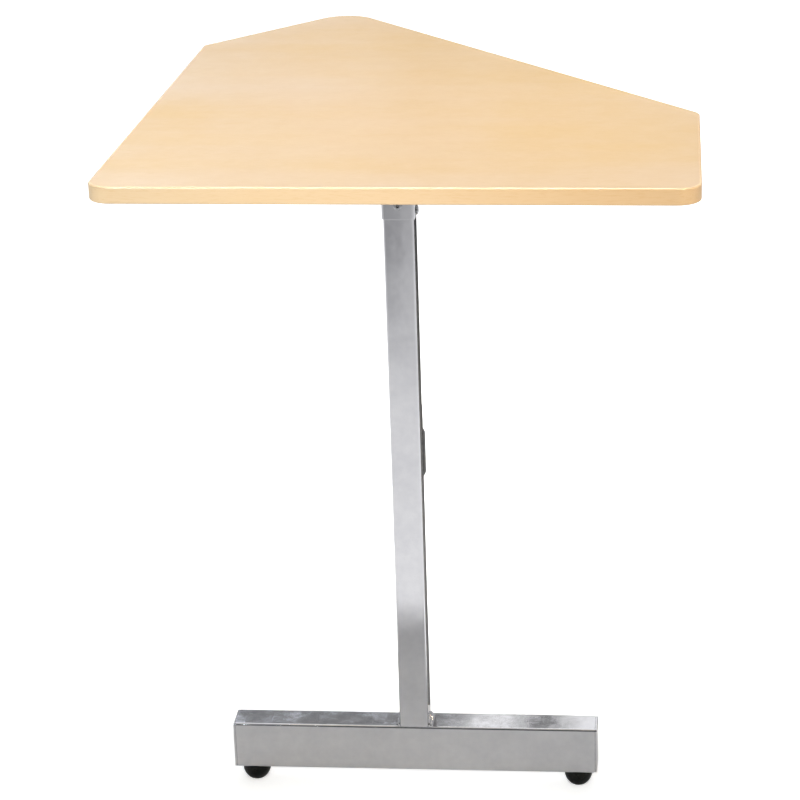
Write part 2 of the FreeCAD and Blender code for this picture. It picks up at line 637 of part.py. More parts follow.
def build_bracket_inserts():
    """Two rivet nuts that fasten the bracket and take screws from behind."""
    back = f"{POST_Y} + Size.post / 2 + Size.bracket"
    inserts = []
    sleeves = bracket_holes("insert_sleeve", "Size.insert_radius", "Size.insert_length",
                            f"{back} - Size.insert_length")
    flanges = bracket_holes("insert_flange", "Size.insert_flange_radius", "Size.insert_flange", back)
    bores = bracket_holes("insert_bore", "Size.insert_bore", "Size.insert_length + Size.insert_flange",
                          f"{back} - Size.insert_length")
    for i, (sleeve, flange, bore) in enumerate(zip(sleeves, flanges, bores)):
        inserts.append(cut(f"insert{i}", fuse(f"insert_body{i}", [sleeve, flange]), [bore]))
    finish(group("inserts", inserts), "bracket_inserts")


# ---------------------------------------------------------------- glides

def bowl_body(name):
    """Glide base turned about Z: straight rim, round bowl, flat pad, recess for nut and stud."""
    body = doc.addObject("PartDesign::Body", name)
    sketch = new_sketch(body, name + "_profile", "XZ_Plane")
    rim, pad = size["glide_radius"], size["glide_pad"]
    high = size["glide_height"] - size["glide_gap"]
    bend = high - size["glide_rim"]
    recess, floor = size["recess_radius"], size["recess_floor"]
    chord_middle = (rim ** 2 - pad ** 2 - bend ** 2) / (2 * (rim - pad))
    centre, radius = Vector(chord_middle, bend, 0), rim - chord_middle
    pad_angle = math.atan2(-bend, pad - chord_middle)
    arc = Part.ArcOfCircle(Part.Circle(centre, Vector(0, 0, 1), radius), pad_angle, 0)
    corners = [(rim, bend), (rim, high), (recess, high), (recess, floor), (0, floor), (0, 0), (pad, 0)]
    points = [Vector(x, y, 0) for x, y in corners]
    lines = [Part.LineSegment(a, b) for a, b in zip(points, points[1:])]
    sketch.addGeometry([arc] + lines, False)
    for i in range(1, 6):
        sketch.addConstraint(Sketcher.Constraint("Coincident", i, 2, i + 1, 1))
    sketch.addConstraint(Sketcher.Constraint("Coincident", 6, 2, 0, 1))
    sketch.addConstraint(Sketcher.Constraint("Tangent", 0, 2, 1, 1))
    for line, kind in ((1, "Vertical"), (2, "Horizontal"), (3, "Vertical"), (4, "Horizontal"),
                       (5, "Vertical"), (6, "Horizontal")):
        sketch.addConstraint(Sketcher.Constraint(kind, line))
    sketch.addConstraint(Sketcher.Constraint("Coincident", 6, 1, -1, 1))
    drive(sketch, "DistanceX", (-1, 1, 1, 1, rim), "Size.glide_radius")
    drive(sketch, "DistanceX", (-1, 1, 6, 2, pad), "Size.glide_pad")
    drive(sketch, "DistanceX", (-1, 1, 3, 1, recess), "Size.recess_radius")
    drive(sketch, "DistanceY", (-1, 1, 4, 1, floor), "Size.recess_floor")
    drive(sketch, "DistanceY", (1, 1, 1, 2, size["glide_rim"]), "Size.glide_rim")
    drive(sketch, "DistanceY", (-1, 1, 1, 2, high), "Size.glide_height - Size.glide_gap")
    turned = body.newObject("PartDesign::Revolution", name + "_turned")
    turned.Profile = sketch
    turned.ReferenceAxis = (sketch, ["V_Axis"])
    turned.Angle = 360
    doc.recompute()
    return body


def build_glide(side, x):
    """One levelling foot: bush in the bar, lock nut, stud that turns, base that only slides."""
    flange_room = "Size.foot_flange_radius + 4 * Size.play"
    base = bowl_body(side + "_bowl")
    place(base, x, FOOT_Y)
    pocket = cylinder(side + "_flange_room", flange_room, "Size.foot_flange + 4 * Size.play", x, FOOT_Y,
                      "Size.foot_flange_rise - 2 * Size.play")
    neck = cylinder(side + "_neck", "Size.stud_radius + 2 * Size.play", "Size.recess_floor", x, FOOT_Y,
                    "Size.foot_flange_rise")
    finish(cut(side + "_base", base, [pocket, neck]), side + "_glide_base")

    rod = cylinder(side + "_rod", "Size.stud_radius", "Size.stud_top - Size.foot_flange_rise", x, FOOT_Y,
                   "Size.foot_flange_rise")
    foot = cylinder(side + "_foot", "Size.foot_flange_radius", "Size.foot_flange", x, FOOT_Y,
                    "Size.foot_flange_rise")
    grip = hexagon(side + "_grip", "Size.hex_flats", "Size.hex_height", x, FOOT_Y, "Size.hex_rise")
    finish(fuse(side + "_stud", [rod, foot, grip]), side + "_glide_stud")

    bore = "Size.stud_radius + Size.play"
    nut_low = "Size.glide_height - Size.lock_nut_height"
    nut = hexagon(side + "_nut", "Size.lock_nut", "Size.lock_nut_height", x, FOOT_Y, nut_low)
    nut_bore = cylinder(side + "_nut_bore", bore, "Size.lock_nut_height", x, FOOT_Y, nut_low)
    finish(cut(side + "_nut_cut", nut, [nut_bore]), side + "_lock_nut")

    sleeve = cylinder(side + "_sleeve", "Size.bush_radius", "Size.bush_length", x, FOOT_Y, "Size.glide_height")
    flange = cylinder(side + "_flange", "Size.bush_flange_radius", "Size.bush_flange", x, FOOT_Y,
                      "Size.glide_height + Size.wall")
    bush_bore = cylinder(side + "_bush_bore", bore, "Size.bush_length", x, FOOT_Y, "Size.glide_height")
    finish(cut(side + "_bush", fuse(side + "_bush_body", [sleeve, flange]), [bush_bore]),
           side + "_glide_bush")


build_tabletop()
build_mounting_plate()
build_top_screws()
build_socket()
build_socket_weld()
build_gussets()
build_clamping_screws()
build_weld_nuts()
build_column()
build_column_welds()
build_foot_bar()
build_rear_bracket()
build_bracket_inserts()
for glide_side, glide_x in glide_places().items():
    build_glide(glide_side, glide_x)
doc.recompute()

# Nothing is written unless every object came out sound.
failed = [item.Label for item in doc.Objects if {"Invalid", "Error"} & set(item.State)]
for piece in subparts:
    if piece.Shape.isNull() or not piece.Shape.isValid() or not piece.Shape.Solids:
        failed.append(piece.Label + " (shape)")
if failed:
    raise RuntimeError("these objects failed: " + ", ".join(failed))

os.makedirs("parts", exist_ok=True)
for piece in subparts:
    piece.Shape.exportStep(os.path.join("parts", piece.Label + ".step"))
    print(f"{piece.Label:22s} {len(piece.Shape.Solids)} solid(s) {piece.Shape.Volume / 1000:10.3f} cm3")
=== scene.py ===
# %% [markdown]
# # A ward table, built cell by cell
# The table has one laminated top with five sides, one chromed column, a straight foot bar and two
# screw glides. The engineering model fixes every size and place. Here we build the surfaces that
# people see, because bright metal and wood-look board are only as good as their edges and finish.

# %% Load the engineering model
import math
import random

import bpy
from mathutils import Matrix, Vector


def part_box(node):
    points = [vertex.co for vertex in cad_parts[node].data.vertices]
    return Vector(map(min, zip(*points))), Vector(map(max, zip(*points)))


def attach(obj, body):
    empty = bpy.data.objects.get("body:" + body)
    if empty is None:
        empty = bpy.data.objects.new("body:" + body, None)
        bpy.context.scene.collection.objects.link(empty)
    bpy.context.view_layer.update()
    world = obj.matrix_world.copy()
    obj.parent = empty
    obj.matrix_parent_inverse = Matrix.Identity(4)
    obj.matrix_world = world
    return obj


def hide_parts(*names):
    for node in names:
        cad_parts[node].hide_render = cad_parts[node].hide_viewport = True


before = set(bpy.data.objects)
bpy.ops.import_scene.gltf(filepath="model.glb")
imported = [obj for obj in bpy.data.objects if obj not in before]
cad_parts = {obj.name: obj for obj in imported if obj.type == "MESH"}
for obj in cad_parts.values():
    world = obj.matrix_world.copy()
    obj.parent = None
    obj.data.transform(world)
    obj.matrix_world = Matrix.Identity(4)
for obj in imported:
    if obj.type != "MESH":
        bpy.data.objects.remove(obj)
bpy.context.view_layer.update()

# %% [markdown]
# ## Two helpers that turn rings of points into a piece
# Tubes, plates, turned feet and welds are all the same thing to a mesh: rings of points joined by
# four-sided faces. A hollow tube is a loop of rings that closes on itself, and a solid bar is a
# stack of rings with a lid at each end. One helper for the faces keeps every piece easy to read.

# %% Faces between rings, and a finished piece
MM = 0.001


def ring_faces(ring_count, points, closed):
    """Quads between neighbouring rings; lids at the ends unless the stack closes on itself."""
    faces = []
    for ring in range(ring_count if closed else ring_count - 1):
        here, there = ring * points, (ring + 1) % ring_count * points
        for i in range(points):
            j = (i + 1) % points
            faces.append((here + i, here + j, there + j, there + i))
    if not closed:
        faces.append(tuple(reversed(range(points))))
        faces.append(tuple(range((ring_count - 1) * points, ring_count * points)))
    return faces


def stack(rings, closed=False):
    """Vertices and faces of a stack of rings that all have the same number of points."""
    return [p for ring in rings for p in ring], ring_faces(len(rings), len(rings[0]), closed)


def merge(*shells):
    """Several vertex-and-face pairs as one."""
    verts, faces = [], []
    for shell_verts, shell_faces in shells:
        faces += [tuple(i + len(verts) for i in face) for face in shell_faces]
        verts += shell_verts
    return verts, faces


def make_piece(name, shell, material, node, body="table", crease=40):
    """A mesh object that stands for an engineering node and rides on its body."""
    mesh = bpy.data.meshes.new(name)
    verts, faces = shell
    mesh.from_pydata([tuple(v) for v in verts], [], faces)
    mesh.validate()
    mesh.shade_smooth()
    mesh.set_sharp_from_angle(angle=math.radians(crease))
    mesh.materials.append(material)
    piece = bpy.data.objects.new(name, mesh)
    bpy.context.scene.collection.objects.link(piece)
    even = piece.modifiers.new("flat faces stay flat", "WEIGHTED_NORMAL")
    even.keep_sharp = True
    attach(piece, body)
    if node:
        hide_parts(node)
    return piece


def ease_edges(piece, width, segments=2):
    """Break a piece's sharp edges, before its normals are evened out."""
    bevel = piece.modifiers.new("broken edges", "BEVEL")
    bevel.width, bevel.segments = width, segments
    bevel.limit_method, bevel.angle_limit = "ANGLE", math.radians(30)
    piece.modifiers.move(len(piece.modifiers) - 1, 0)


print("helpers ready")

# %% [markdown]
# ## Effects that several finishes share
# Real surfaces are never one even tone. Five small node groups give the differences: slow wandering of
# tone, long thin scratches, worn corners, settled dust, and painted shade in crevices. Each is built
# once and placed in a finish with its own values, so all the pieces belong to one table.
# The first cell holds the small tools that keep such node trees short to write.

# %% Node group toolkit
def start_group(name, inputs, outputs):
    """An empty shader node group: inputs are (name, default), outputs are names."""
    tree = bpy.data.node_groups.new(name, "ShaderNodeTree")
    for label, default in inputs:
        socket = tree.interface.new_socket(name=label, in_out="INPUT", socket_type="NodeSocketFloat")
        socket.default_value = default
    for label in outputs:
        tree.interface.new_socket(name=label, in_out="OUTPUT", socket_type="NodeSocketFloat")
    return tree, tree.nodes.new("NodeGroupInput"), tree.nodes.new("NodeGroupOutput")


def add(tree, kind, **settings):
    """A node with its properties set; names that are sockets set the socket's value."""
    node = tree.nodes.new(kind)
    for key, value in settings.items():
        if hasattr(node, key):
            setattr(node, key, value)
        else:
            node.inputs[key.replace("_", " ")].default_value = value
    return node


def wire(tree, source, target):
    """A link from one socket to another."""
    tree.links.new(source, target)


def object_place(tree, scale=(1, 1, 1)):
    """Coordinates that stay with the piece, stretched by a scale."""
    place = add(tree, "ShaderNodeTexCoord")
    stretch = add(tree, "ShaderNodeMapping")
    stretch.inputs["Scale"].default_value = scale
    wire(tree, place.outputs["Object"], stretch.inputs["Vector"])
    return stretch.outputs["Vector"]


def noise_on(tree, stretch=(1, 1, 1), **settings):
    """A noise texture that stays with the piece, with its sockets set by name."""
    noise = add(tree, "ShaderNodeTexNoise", **settings)
    wire(tree, object_place(tree, stretch), noise.inputs["Vector"])
    return noise


def remap(tree, source, low, high, to_low=0.0, to_high=1.0, ease="LINEAR"):
    """A value moved from one range to another, held at the ends."""
    node = add(tree, "ShaderNodeMapRange", clamp=True, interpolation_type=ease)
    ends = {"From Min": low, "From Max": high, "To Min": to_low, "To Max": to_high}
    for label, value in ends.items():
        node.inputs[label].default_value = value
    wire(tree, source, node.inputs["Value"])
    return node.outputs["Result"]


def math_node(tree, operation, first, second):
    """A sum or product of two values, each a socket or a number."""
    node = add(tree, "ShaderNodeMath", operation=operation)
    for socket, value in zip(node.inputs, (first, second)):
        if isinstance(value, (int, float)):
            socket.default_value = value
        else:
            wire(tree, value, socket)
    return node.outputs[0]


def share(tree, first, part, second):
    """Two values added in fixed parts, such as 0.6 of the first and 0.4 of the second."""
    scaled = math_node(tree, "MULTIPLY", first, part)
    return math_node(tree, "ADD", scaled, math_node(tree, "MULTIPLY", second, 1 - part))


print("node tools ready")

# %% [markdown]
# Each effect is noise with a purpose. Tone wanders by soft noise. Scratches are noise stretched until
# it turns into lines. Wear compares the true surface with a rounded copy of it, dust asks which way a
# surface faces, and the painted shade in crevices asks how closed in it is.

# %% The shared effects
def build_wander():
    """Slow change of tone over a surface, 0 to 1, around patches of a given size."""
    tree, given, result = start_group("Wandering tone", [("Patches per metre", 6.0)], ["Tone"])
    noise = noise_on(tree, Detail=3.0, Roughness=0.55)
    wire(tree, given.outputs[0], noise.inputs["Scale"])
    eased = remap(tree, noise.outputs["Fac"], 0.25, 0.75, ease="SMOOTHSTEP")
    wire(tree, eased, result.inputs[0])
    return tree


def build_scratches():
    """Long thin marks in two directions, mostly nothing, 1 on a scratch."""
    tree, given, result = start_group("Fine scratches", [("Coverage", 0.3)], ["Mark"])
    marks = []
    for scale in ((900, 14, 900), (40, 700, 22)):
        noise = noise_on(tree, stretch=scale, Scale=1.0, Detail=2.0, Roughness=0.5)
        marks.append(remap(tree, noise.outputs["Fac"], 0.62, 0.74))
    both = math_node(tree, "MAXIMUM", *marks)
    wire(tree, math_node(tree, "MULTIPLY", both, given.outputs[0]), result.inputs[0])
    return tree


def build_edge_wear():
    """1 on corners and arrises within a given distance, broken up by a little noise."""
    tree, given, result = start_group("Edge wear", [("Reach", 0.001), ("Breakup", 0.5)], ["Mask"])
    bevel = add(tree, "ShaderNodeBevel", samples=6)
    wire(tree, given.outputs[0], bevel.inputs["Radius"])
    true_normal = add(tree, "ShaderNodeNewGeometry")
    turn = add(tree, "ShaderNodeVectorMath", operation="DOT_PRODUCT")
    wire(tree, bevel.outputs[0], turn.inputs[0])
    wire(tree, true_normal.outputs["Normal"], turn.inputs[1])
    edge = remap(tree, turn.outputs["Value"], 0.995, 0.9)
    noise = noise_on(tree, Scale=120.0, Detail=2.0)
    patches = remap(tree, noise.outputs["Fac"], 0.35, 0.6)
    broken = math_node(tree, "MULTIPLY", patches, given.outputs[1])
    kept = math_node(tree, "SUBTRACT", 1.0, broken)
    wire(tree, math_node(tree, "MULTIPLY", edge, kept), result.inputs[0])
    return tree


def build_dust():
    """Dust that lies on surfaces that face up, thicker in soft clouds."""
    tree, given, result = start_group("Settled dust", [("Amount", 0.2)], ["Dust"])
    normal = add(tree, "ShaderNodeNewGeometry")
    parts = add(tree, "ShaderNodeSeparateXYZ")
    wire(tree, normal.outputs["Normal"], parts.inputs[0])
    facing = remap(tree, parts.outputs["Z"], 0.55, 0.95)
    noise = noise_on(tree, Scale=35.0, Detail=5.0, Roughness=0.7)
    cloud = math_node(tree, "MULTIPLY", facing, remap(tree, noise.outputs["Fac"], 0.4, 0.75))
    wire(tree, math_node(tree, "MULTIPLY", cloud, given.outputs[0]), result.inputs[0])
    return tree


def build_crevice():
    """Painted shade: 1 deep in corners and recesses, where the surface is closed in."""
    tree, given, result = start_group("Painted recess shade", [("Reach", 0.002)], ["Dirt"])
    open_air = add(tree, "ShaderNodeAmbientOcclusion", samples=6)
    wire(tree, given.outputs[0], open_air.inputs["Distance"])
    wire(tree, remap(tree, open_air.outputs["AO"], 0.75, 0.3), result.inputs[0])
    return tree


WANDER, SCRATCHES, WEAR = build_wander(), build_scratches(), build_edge_wear()
DUST, CREVICE = build_dust(), build_crevice()
print("shared effects:", [tree.name for tree in (WANDER, SCRATCHES, WEAR, DUST, CREVICE)])

# %% [markdown]
# ## Toolkit for a finish
# Every finish is a Principled shader. Values that are the same everywhere are typed into its own
# sockets. Only what changes over the surface arrives through nodes.

# %% Finish toolkit
def start_finish(name, **constants):
    """A node material with its shader's constant values set; returns it, its tree and shader."""
    material = bpy.data.materials.new(name)
    material.use_nodes = True
    tree = material.node_tree
    shader = tree.nodes["Principled BSDF"]
    for key, value in constants.items():
        shader.inputs[key.replace("_", " ")].default_value = value
    return material, tree, shader


def use(tree, group, **values):
    """A shared effect placed in a finish with its own values."""
    node = add(tree, "ShaderNodeGroup", node_tree=group)
    for key, value in values.items():
        node.inputs[key.replace("_", " ")].default_value = value
    return node.outputs[0]


def blend_colours(tree, factor, first, second):
    """One colour into another by a factor; each colour is a socket or a tuple."""
    mix = add(tree, "ShaderNodeMix", data_type="RGBA")
    wire(tree, factor, mix.inputs["Factor"])
    for socket, colour in ((mix.inputs[6], first), (mix.inputs[7], second)):
        if isinstance(colour, tuple):
            socket.default_value = (*colour, 1)
        else:
            wire(tree, colour, socket)
    return mix.outputs[2]


def bump(tree, shader, height, distance, strength=1.0):
    """Small relief in metres of height."""
    node = add(tree, "ShaderNodeBump", Strength=strength, Distance=distance)
    wire(tree, height, node.inputs["Height"])
    wire(tree, node.outputs[0], shader.inputs["Normal"])


print("finish tools ready")

# %% [markdown]
# ## Chrome plate
# Chrome shows whatever stands around it, so its own colour is only a cool light grey. What makes
# it look like plated tube and not like a mirror is the steel underneath: tube walls are drawn and
# ground by hand, and that leaves a slight waviness which bends every reflection.

# %% Chrome plate
def build_chrome(name, roughness, waves):
    """Chrome with a given roughness; waves is the height of its waviness in metres."""
    material, tree, shader = start_finish(name, Metallic=1.0)
    cloud = use(tree, WANDER, Patches_per_metre=24.0)
    mottle = use(tree, WANDER, Patches_per_metre=110.0)
    tone = share(tree, cloud, 0.6, mottle)
    wear = use(tree, WEAR, Reach=0.0012, Breakup=0.6)
    dust = use(tree, DUST, Amount=0.16)
    plate = blend_colours(tree, tone, (0.755, 0.755, 0.79), (0.865, 0.865, 0.89))
    worn = blend_colours(tree, wear, plate, (0.92, 0.92, 0.92))
    wire(tree, blend_colours(tree, dust, worn, (0.55, 0.54, 0.52)), shader.inputs["Base Color"])
    scratch = use(tree, SCRATCHES, Coverage=0.35)
    rough = math_node(tree, "ADD", remap(tree, tone, 0, 1, roughness, roughness * 1.5),
                      math_node(tree, "MULTIPLY", scratch, 0.16))
    wire(tree, math_node(tree, "ADD", rough, math_node(tree, "MULTIPLY", dust, 0.8)),
         shader.inputs["Roughness"])
    slow = noise_on(tree, Scale=26.0, Detail=2.0, Roughness=0.45)
    relief = math_node(tree, "ADD", slow.outputs["Fac"], math_node(tree, "MULTIPLY", scratch, -0.01))
    bump(tree, shader, relief, waves)
    return material


CHROME = build_chrome("chrome plate", roughness=0.065, waves=0.00022)
WELD_CHROME = build_chrome("chrome plate on weld", roughness=0.13, waves=0.0006)
print("chrome ready")

# %% [markdown]
# ## Beech-look laminate
# The top is particle board under a printed beech laminate. The print is pale and even: short
# flecks and very soft bands run with the long grain, along the front edge. A laminate also has a
# fine pressed texture that softens its shine. Its roughness stays above 0.28 all over: where a
# finish crosses about 0.27, the renderer's noise filter can draw a thin false line.

# %% Beech print, shared by the top and its edge band
def build_beech_print():
    """Grain of the print: slow bands and short flecks, both 0 to 1."""
    tree, given, result = start_group("Beech print", [("Band scale", 1.0)], ["Bands", "Flecks"])
    bands = noise_on(tree, stretch=(0.9, 11.0, 11.0), Detail=3.0, Roughness=0.55)
    wire(tree, given.outputs[0], bands.inputs["Scale"])
    flecks = noise_on(tree, stretch=(70.0, 620.0, 620.0), Scale=1.0, Detail=2.0, Roughness=0.6)
    eased = remap(tree, bands.outputs["Fac"], 0.25, 0.75, ease="SMOOTHSTEP")
    wire(tree, eased, result.inputs["Bands"])
    wire(tree, remap(tree, flecks.outputs["Fac"], 0.5, 0.72), result.inputs["Flecks"])
    return tree


BEECH = build_beech_print()


def build_beech(name, light, warm, fleck, roughness):
    """Printed beech between a light and a warm tone, with darker flecks."""
    material, tree, shader = start_finish(name, Coat_Roughness=0.3)
    grain = add(tree, "ShaderNodeGroup", node_tree=BEECH)
    cloud = use(tree, WANDER, Patches_per_metre=3.2)
    wood = blend_colours(tree, share(tree, grain.outputs["Bands"], 0.55, cloud), light, warm)
    soft_fleck = math_node(tree, "MULTIPLY", grain.outputs["Flecks"], 0.3)
    wear = use(tree, WEAR, Reach=0.0016, Breakup=0.7)
    dust = use(tree, DUST, Amount=0.05)
    flecked = blend_colours(tree, soft_fleck, wood, fleck)
    faint_wear = math_node(tree, "MULTIPLY", wear, 0.2)
    worn = blend_colours(tree, faint_wear, flecked, (0.93, 0.84, 0.70))
    wire(tree, blend_colours(tree, dust, worn, (0.85, 0.82, 0.77)), shader.inputs["Base Color"])
    shine = remap(tree, cloud, 0, 1, roughness - 0.05, roughness + 0.07)
    wire(tree, shine, shader.inputs["Roughness"])
    pores = noise_on(tree, Scale=1800.0, Detail=2.0)
    relief = math_node(tree, "ADD", pores.outputs["Fac"],
                       math_node(tree, "MULTIPLY", grain.outputs["Flecks"], -0.5))
    bump(tree, shader, relief, 0.00003, 0.6)
    return material


LAMINATE = build_beech("beech laminate", light=(0.485, 0.355, 0.23), warm=(0.465, 0.302, 0.115),
                       fleck=(0.39, 0.245, 0.088), roughness=0.34)
# painted light: the band's tones are about a third lighter than the top's, to make up for the weaker
# light on its upright face
PAINTED_LIGHT_EDGE_BAND = build_beech("beech edge band with painted light", light=(0.63, 0.475, 0.315), warm=(0.60, 0.405, 0.205),
                        fleck=(0.51, 0.32, 0.14), roughness=0.34)
print("beech finishes ready")

# %% [markdown]
# ## Plain finishes
# The glides are black moulded plastic with a fine spark-eroded grain. Screws, nuts and studs are
# zinc plated, which is duller and bluer than chrome. The underside has a plain backing laminate,
# and the board's core is pressed chips, seen only if the band comes off.

# %% Black plastic, zinc, backing sheet and particle board
def build_black_plastic():
    """Black moulding with pale scuffs on its rim and a little dust."""
    material, tree, shader = start_finish("black moulded plastic", Specular_IOR_Level=0.22)
    tone = use(tree, WANDER, Patches_per_metre=60.0)
    wear = use(tree, WEAR, Reach=0.001, Breakup=0.8)
    dust = use(tree, DUST, Amount=0.15)
    black = blend_colours(tree, tone, (0.004, 0.0045, 0.004), (0.008, 0.009, 0.008))
    scuffed = blend_colours(tree, wear, black, (0.035, 0.036, 0.035))
    wire(tree, blend_colours(tree, dust, scuffed, (0.16, 0.155, 0.145)), shader.inputs["Base Color"])
    wire(tree, remap(tree, tone, 0, 1, 0.2, 0.268), shader.inputs["Roughness"])
    grain = noise_on(tree, Scale=2400.0, Detail=1.0)
    bump(tree, shader, grain.outputs["Fac"], 0.00004, 0.7)
    return material


def build_zinc(name, dark, light, roughness):
    """Zinc between a dark and a light tone, with painted shade in its threads and recesses."""
    material, tree, shader = start_finish(name, Metallic=1.0)
    tone = use(tree, WANDER, Patches_per_metre=150.0)
    wear = use(tree, WEAR, Reach=0.0004, Breakup=0.5)
    # painted shade: ambient occlusion darkens the zinc in threads and recesses
    recess_shade = use(tree, CREVICE, Reach=0.003)
    zinc = blend_colours(tree, tone, dark, light)
    worn = blend_colours(tree, wear, zinc, (0.72, 0.71, 0.69))
    wire(tree, blend_colours(tree, recess_shade, worn, (0.03, 0.028, 0.026)), shader.inputs["Base Color"])
    scratch = use(tree, SCRATCHES, Coverage=0.5)
    shine = remap(tree, tone, 0, 1, roughness, roughness + 0.14)
    scratched = math_node(tree, "ADD", shine, math_node(tree, "MULTIPLY", scratch, 0.2))
    wire(tree, scratched, shader.inputs["Roughness"])
    grain = noise_on(tree, Scale=1500.0, Detail=2.0)
    bump(tree, shader, grain.outputs["Fac"], 0.00002, 0.6)
    return material


def build_backing():
    """Plain pale sheet that balances the laminate on the underside."""
    material, tree, shader = start_finish("plain backing laminate")
    tone = use(tree, WANDER, Patches_per_metre=9.0)
    dust = use(tree, DUST, Amount=0.1)
    sheet = blend_colours(tree, tone, (0.60, 0.55, 0.46), (0.68, 0.63, 0.54))
    wire(tree, blend_colours(tree, dust, sheet, (0.5, 0.48, 0.44)), shader.inputs["Base Color"])
    wire(tree, remap(tree, tone, 0, 1, 0.5, 0.62), shader.inputs["Roughness"])
    fibre = noise_on(tree, Scale=1100.0, Detail=3.0)
    bump(tree, shader, fibre.outputs["Fac"], 0.00004, 0.6)
    return material


def build_chips():
    """Pressed chips: one tone for each cell of a cell pattern."""
    material, tree, shader = start_finish("pressed chip board")
    chips = add(tree, "ShaderNodeTexVoronoi", Scale=260.0)
    wire(tree, object_place(tree, (1.0, 1.0, 2.4)), chips.inputs["Vector"])
    shade = remap(tree, chips.outputs["Color"], 0.1, 0.9)
    wood = blend_colours(tree, shade, (0.40, 0.27, 0.14), (0.66, 0.50, 0.30))
    wire(tree, wood, shader.inputs["Base Color"])
    dullness = remap(tree, chips.outputs["Distance"], 0, 1, 0.75, 0.95)
    wire(tree, dullness, shader.inputs["Roughness"])
    bump(tree, shader, chips.outputs["Distance"], 0.0002, 0.8)
    return material


ZINC = build_zinc("zinc plated steel", dark=(0.46, 0.47, 0.49), light=(0.60, 0.61, 0.62),
                  roughness=0.22)
# painted shade: the bracket's zinc is set far darker than the screws', as for a plate standing in
# shadow behind the column
SHADED_BRACKET_ZINC = build_zinc("bracket zinc with painted shade", dark=(0.19, 0.195, 0.205),
                       light=(0.29, 0.295, 0.305), roughness=0.38)
BLACK, BACKING, CHIPS = build_black_plastic(), build_backing(), build_chips()
print("finishes in the file:", len(bpy.data.materials))

# %% [markdown]
# ## Outlines
# Three outlines make nearly every ring on this table: a rectangle with rounded corners for tubes
# and plates, a circle or hexagon for screws and nuts, and the five-sided outline of the top. The
# top is a rectangle whose two back corners were sawn off along different lines. Those two cuts
# meet in one rounded peak behind the left half.

# %% Rounded rectangle, polygon and the table top's outline
def rounded_rectangle(half_width, half_depth, radius, steps=6):
    """Ring of (u, v), anticlockwise, with an arc of `steps` parts at each corner."""
    ring = []
    for corner, (sign_u, sign_v) in enumerate(((1, 1), (-1, 1), (-1, -1), (1, -1))):
        for i in range(steps + 1):
            angle = math.pi / 2 * (corner + i / steps)
            ring.append((sign_u * (half_width - radius) + radius * math.cos(angle),
                         sign_v * (half_depth - radius) + radius * math.sin(angle)))
    return ring


def circle(radius, steps=48):
    """Ring of (u, v) round a circle."""
    angles = [2 * math.pi * i / steps for i in range(steps)]
    return [(radius * math.cos(angle), radius * math.sin(angle)) for angle in angles]


def hexagon(flats, corner_limit=None, steps=48):
    """Hexagon across flats, with its corners turned down to a radius if one is given."""
    ring = []
    for i in range(steps):
        angle = 2 * math.pi * i / steps
        reach = flats / 2 / math.cos((angle + math.pi / 6) % (math.pi / 3) - math.pi / 6)
        if corner_limit:
            reach = min(reach, corner_limit)
        ring.append((reach * math.cos(angle), reach * math.sin(angle)))
    return ring


TOP_HALF_WIDTH, TOP_HALF_DEPTH = 310 * MM, 427.5 * MM
LEFT_SIDE, RIGHT_SIDE = 670 * MM, 315 * MM
FRONT_RADIUS, LEFT_BACK_RADIUS, RIGHT_BACK_RADIUS = 25 * MM, 6 * MM, 15 * MM
PEAK_RADIUS = 40 * MM
PEAK_CENTRE = Vector((-149 * MM, TOP_HALF_DEPTH - PEAK_RADIUS))


def tangent_angle(corner, side):
    """Direction from a corner that just touches the peak's arc."""
    run = PEAK_CENTRE - corner
    return math.atan2(run.y, run.x) + side * math.asin(PEAK_RADIUS / run.length)


def corner_of(vertex, angle_in, angle_out, radius, inset):
    """Points of the arc that rounds one corner, moved inwards by an inset."""
    along = Vector((math.cos(angle_in), math.sin(angle_in)))
    inward = Vector((-along.y, along.x))
    centre = vertex - along * radius * math.tan((angle_out - angle_in) / 2) + inward * radius
    return arc_points(centre, angle_in - math.pi / 2, angle_out - math.pi / 2, radius - inset)


def arc_points(centre, start, end, radius, steps=20):
    """Points along an arc between two directions."""
    angles = [start + (end - start) * i / steps for i in range(steps + 1)]
    return [(centre.x + radius * math.cos(angle), centre.y + radius * math.sin(angle))
            for angle in angles]


def top_ring(inset):
    """The top's outline, anticlockwise, moved inwards by an inset."""
    width, depth = TOP_HALF_WIDTH, TOP_HALF_DEPTH
    back_right = Vector((width, RIGHT_SIDE - depth))
    back_left = Vector((-width, LEFT_SIDE - depth))
    up_left = tangent_angle(back_right, -1)
    down_left = tangent_angle(back_left, 1) + math.pi
    quarter = math.pi / 2
    ring = corner_of(Vector((width, -depth)), 0, quarter, FRONT_RADIUS, inset)
    ring += corner_of(back_right, quarter, up_left, RIGHT_BACK_RADIUS, inset)
    ring += arc_points(PEAK_CENTRE, up_left - quarter, down_left - quarter, PEAK_RADIUS - inset)
    ring += corner_of(back_left, down_left, 3 * quarter, LEFT_BACK_RADIUS, inset)
    front_left = Vector((-width, -depth))
    return ring + corner_of(front_left, 3 * quarter, 4 * quarter, FRONT_RADIUS, inset)


def at_height(ring, z, centre=(0, 0)):
    """A flat outline laid at a height, round a centre."""
    return [(centre[0] + u, centre[1] + v, z) for u, v in ring]


print("points round the top:", len(top_ring(0)))

# %% [markdown]
# ## The top: a sheet, a band and a backing
# The band is a strip of plastic glued round the board and trimmed flush with a rounded cutter, so
# both its arrises are soft. The sheet ends just inside it. The hairline between the two is the
# detail that tells the eye this is a laminated board and not a solid slab.

# %% Edge band, top sheet and backing sheet
band_low, band_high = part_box("edge_band")
BAND, BAND_ROUND, HAIRLINE = 2 * MM, 1.9 * MM, 0.12 * MM
TRIM, EASE = 0.03 * MM, 0.15 * MM
BAND_STEPS = 6


